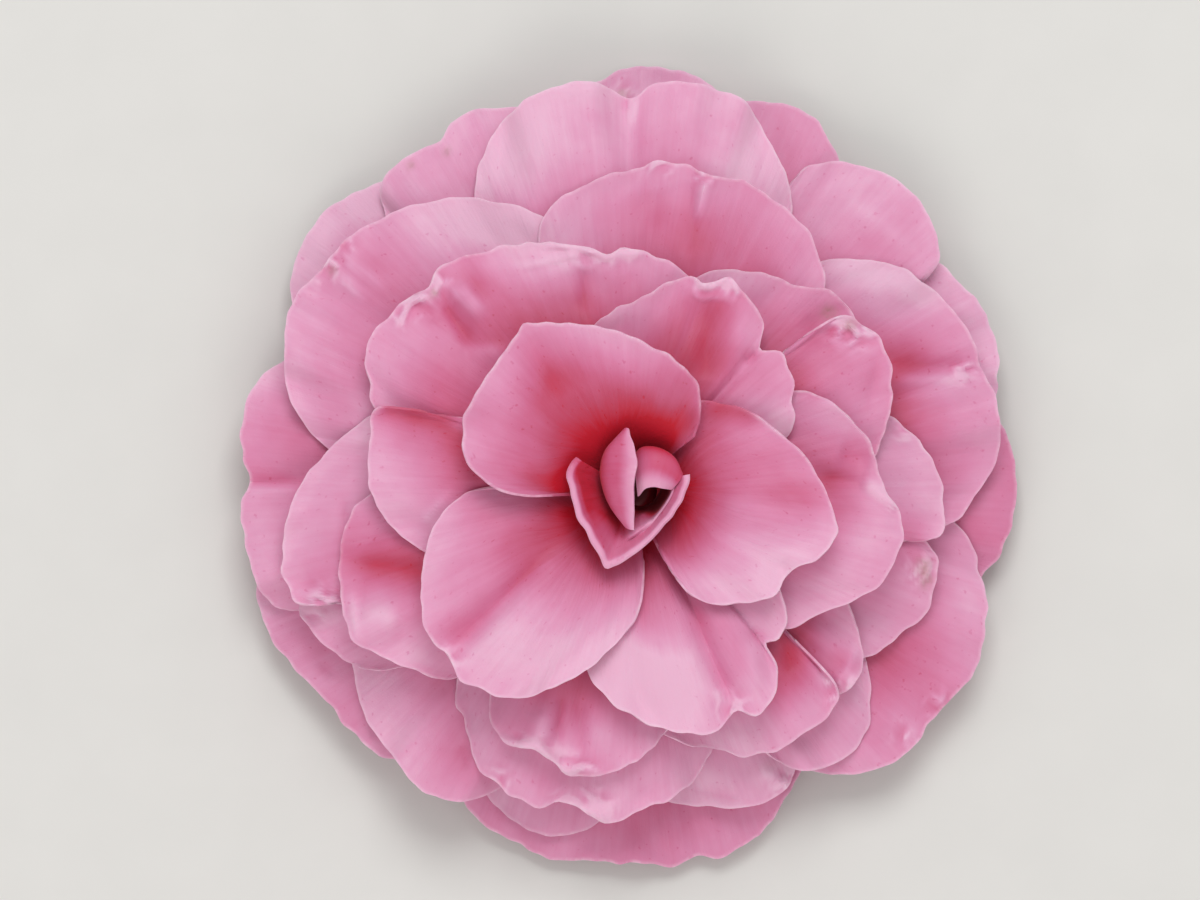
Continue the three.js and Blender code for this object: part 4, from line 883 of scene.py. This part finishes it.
def place_cup(across, row):
    """A point of the cup. Across runs from its left tip over the keel, near 0.5, to the hole."""
    rim = point_at(cup_line, cup_run, across)
    hole_side = ease(across, 0.67, 0.82)
    wall = point_at(wall_line, wall_run, row).lerp(point_at(hole_line, hole_run, row), hole_side)
    reach = math.hypot(rim.x, rim.y)
    along = across * cup_run[-1]
    from_middle = nearest_turn(math.degrees(math.atan2(rim.y, rim.x)) - cup_middle)
    opened = ease(row, 0, 0.4)
    bearing = cup_middle + from_middle * mix(cup_claw, 1, opened) - CUP_LEAN * (1 - opened)
    radius = mix(CUP_ROOT_RADIUS, reach, wall.x / CUP_WALL_RUN)
    radius += 0.2 * noise.noise((along / 1.8, 0, 4)) * ease(row, 0.8, 1)
    height = wall.y - CUP_TIP_DROP * row * (2 * across - 1) ** 4
    height += 0.3 * noise.noise((along / 2.5, row * 3, 5)) * ease(row, 0.5, 1)
    inset = (1 - row) * mix(wall_run[-1], hole_run[-1], hole_side)
    pigment_and_painted_light = 0.12 + 0.25 * ease(inset, 0.6, 1.1) + 0.35 * ease(inset, 3, 7)
    # deeper down the inside of its left wall next to the leaf: partly painted shade
    pigment_and_painted_light += 0.15 * ease(inset, 0.7, 1.2) * ease(across, 0.48, 0.3)  # deeper in its left side
    pigment_and_painted_light += 0.25 * ease(inset, 1.4, 2.4) * ease(across, 0.36, 0.22)
    pigment_and_painted_light += 0.4 * ease(across, 0.14, 0)  # and at its tip
    # painted shade: the hole under the hood is painted much deeper, towards dark maroon
    pigment_and_painted_light = min(pigment_and_painted_light, DEEPEST_WALL) + HOLE_PAINTED_SHADE * ease(inset, 3.9, 4.9) * hole_side
    fold_inset, fold_width, fold_height = CUP_FOLD
    fold = math.exp(-(((inset - fold_inset) / fold_width) ** 2)) * ease(across, 0.58, 0.72)
    ledge = ease(across, 0.54, 0.6) * ease(across, 0.78, 0.7)
    ledge *= ease(inset, 3, 4) * ease(inset, 8, 6.5)
    height += fold_height * fold + CUP_LEDGE * ledge
    # painted highlight: the second ridge and the ledge are painted paler
    pigment_and_painted_light -= 0.35 * fold + 0.22 * ledge
    return polar(bearing, radius, height), (pigment_and_painted_light, 0, 0.4), (along / UNIT, inset / UNIT)


cup = blade("eye_petal_cup_blade", 88, 36, place_cup, bud_tissue)
place_piece(cup, "eye_petal_cup")


BUD_LENGTH = 9  # of a petal in the eye, from root to margin
BUD_HEM_PIGMENT = 0.2


def bud_petal(node, root, belly, margin, seed, flank):
    """A petal that bends from its root out to a belly and back to its margin.

    flank: how much deeper its face is than its hem.
    """
    foot, middle, end = (
        curve_through([Vector(knot) for knot in knots]) for knots in (root, belly, margin))

    def place(across, row):
        low, mid, top = (point_at(*line, across) for line in (foot, middle, end))
        pull = 2 * mid - (low + top) / 2  # a quadratic curve through all three
        point = low * (1 - row) ** 2 + pull * 2 * row * (1 - row) + top * row**2
        along = across * end[1][-1]
        inset = (1 - row) * BUD_LENGTH
        point.z += 0.2 * noise.noise((along / 1.6, row * 4, seed)) * ease(row, 0.5, 1)
        point.x += 0.2 * noise.noise((along / 1.9, row * 3, seed + 2)) * ease(row, 0.4, 0.9)
        pigment_and_painted_light = BUD_HEM_PIGMENT + flank * ease(inset, 0.3, 1.6)
        pigment_and_painted_light += (1 - BUD_HEM_PIGMENT - flank) * ease(inset, 2, 7)
        pigment_and_painted_light -= 0.14 * ease(across, 0.5, 1)
        return point, (pigment_and_painted_light, 0, draw(seed)), (along / UNIT, inset / UNIT)

    piece = blade(node + "_blade", 48, 36, place, bud_tissue)
    place_piece(piece, node)


bud_petal("eye_petal_leaf", root=[(-0.7, 1, 15.9), (-0.7, -0.9, 15.9)],
          belly=[(-0.9, 6.6, 22.7), (-3, 4.9, 22.6), (-3.6, 2.6, 22.4), (-3.3, 0.3, 22.3),
                 (-2.3, -2.2, 22.6), (-0.9, -3.9, 22.9)],
          margin=[(-0.2, 7.6, 24.6), (0.6, 5.2, 26.2), (0.8, 2.9, 26.7), (0.45, 0.5, 26.7),
                  (0.5, -1.8, 26.4), (0.5, -5, 25.4)], seed=61, flank=0.28)
bud_petal("eye_petal_hood", root=[(2.2, 0.9, 16.4), (1.2, 2, 16.4)],
          belly=[(6.3, 2.2, 22.8), (5.4, 4.1, 23.4), (3.5, 5.2, 23.6), (1.6, 5.2, 23.2),
                 (0.6, 4.3, 22.6)],
          margin=[(5.2, 0.1, 23.6), (4.2, 0.2, 24.6), (3, 0.4, 25), (2, 0.2, 24.9),
                  (1, -0.8, 24.2)], seed=62, flank=0.38)


# ---- Floor, light and camera ----
# A plain pale studio floor, one large soft lamp high on the +Y side, and even light all round.
# The camera looks straight down onto the open bloom through a long lens.

studio_floor = new_material("matt studio paper")
fibre = add_node(studio_floor, "TexNoise", {"Scale": 400, "Detail": 3})
paper_tone = add_node(studio_floor, "ValToRGB", {}, {"Fac": fibre})
add_ramp(paper_tone, (0.3, "#dededa"), (0.7, "#e0e0dc"))
paper = add_node(studio_floor, "BsdfPrincipled", {"Roughness": 0.9}, {"Base Color": paper_tone})
add_node(studio_floor, "OutputMaterial", {}, {"Surface": paper})
FLOOR_HALF_WIDTH = 2
sheet = bmesh.new()
bmesh.ops.create_grid(sheet, x_segments=1, y_segments=1, size=FLOOR_HALF_WIDTH)
floor = new_piece("studio_floor", sheet)
floor.data.materials.append(bpy.data.materials["matt studio paper"])

world = bpy.data.worlds.new("studio light")
world.use_nodes = True
even_light = world.node_tree.nodes["Background"].inputs
even_light["Color"].default_value = (1, 1, 1, 1)
even_light["Strength"].default_value = 0.515
bpy.context.scene.world = world

for name, place, size, watts, tint in (("soft key", (0.05, 0.62, 0.95), 0.55, 5.7, "#ffffff"),
                                       ("fill", (-0.15, -0.8, 0.7), 1, 3.5, "#fff0f0")):
    lamp = bpy.data.lights.new(name, "AREA")
    lamp.size, lamp.energy, lamp.color = size, watts, linear(tint)[:3]
    light = bpy.data.objects.new(name, lamp)
    light.location = place
    light.rotation_euler = (-light.location).to_track_quat("-Z", "Y").to_euler()
    bpy.context.collection.objects.link(light)

VIEW_WIDTH = 151.9 * MM  # what the photograph's width takes in at the height of the petals
VIEW_CENTRE = (-3.8 * MM, 5.06 * MM)  # the photograph's middle, from the bloom's axis
VIEW_HEIGHT = 4
PETAL_HEIGHT = 12 * MM
SENSOR_WIDTH = 36
lens = bpy.data.cameras.new("long lens")
lens.sensor_width = SENSOR_WIDTH
lens.lens = SENSOR_WIDTH * (VIEW_HEIGHT - PETAL_HEIGHT) / VIEW_WIDTH
camera = bpy.data.objects.new("camera", lens)
camera.location = (*VIEW_CENTRE, VIEW_HEIGHT)
bpy.context.collection.objects.link(camera)
bpy.context.scene.camera = camera
bpy.context.scene.view_settings.view_transform = "Standard"
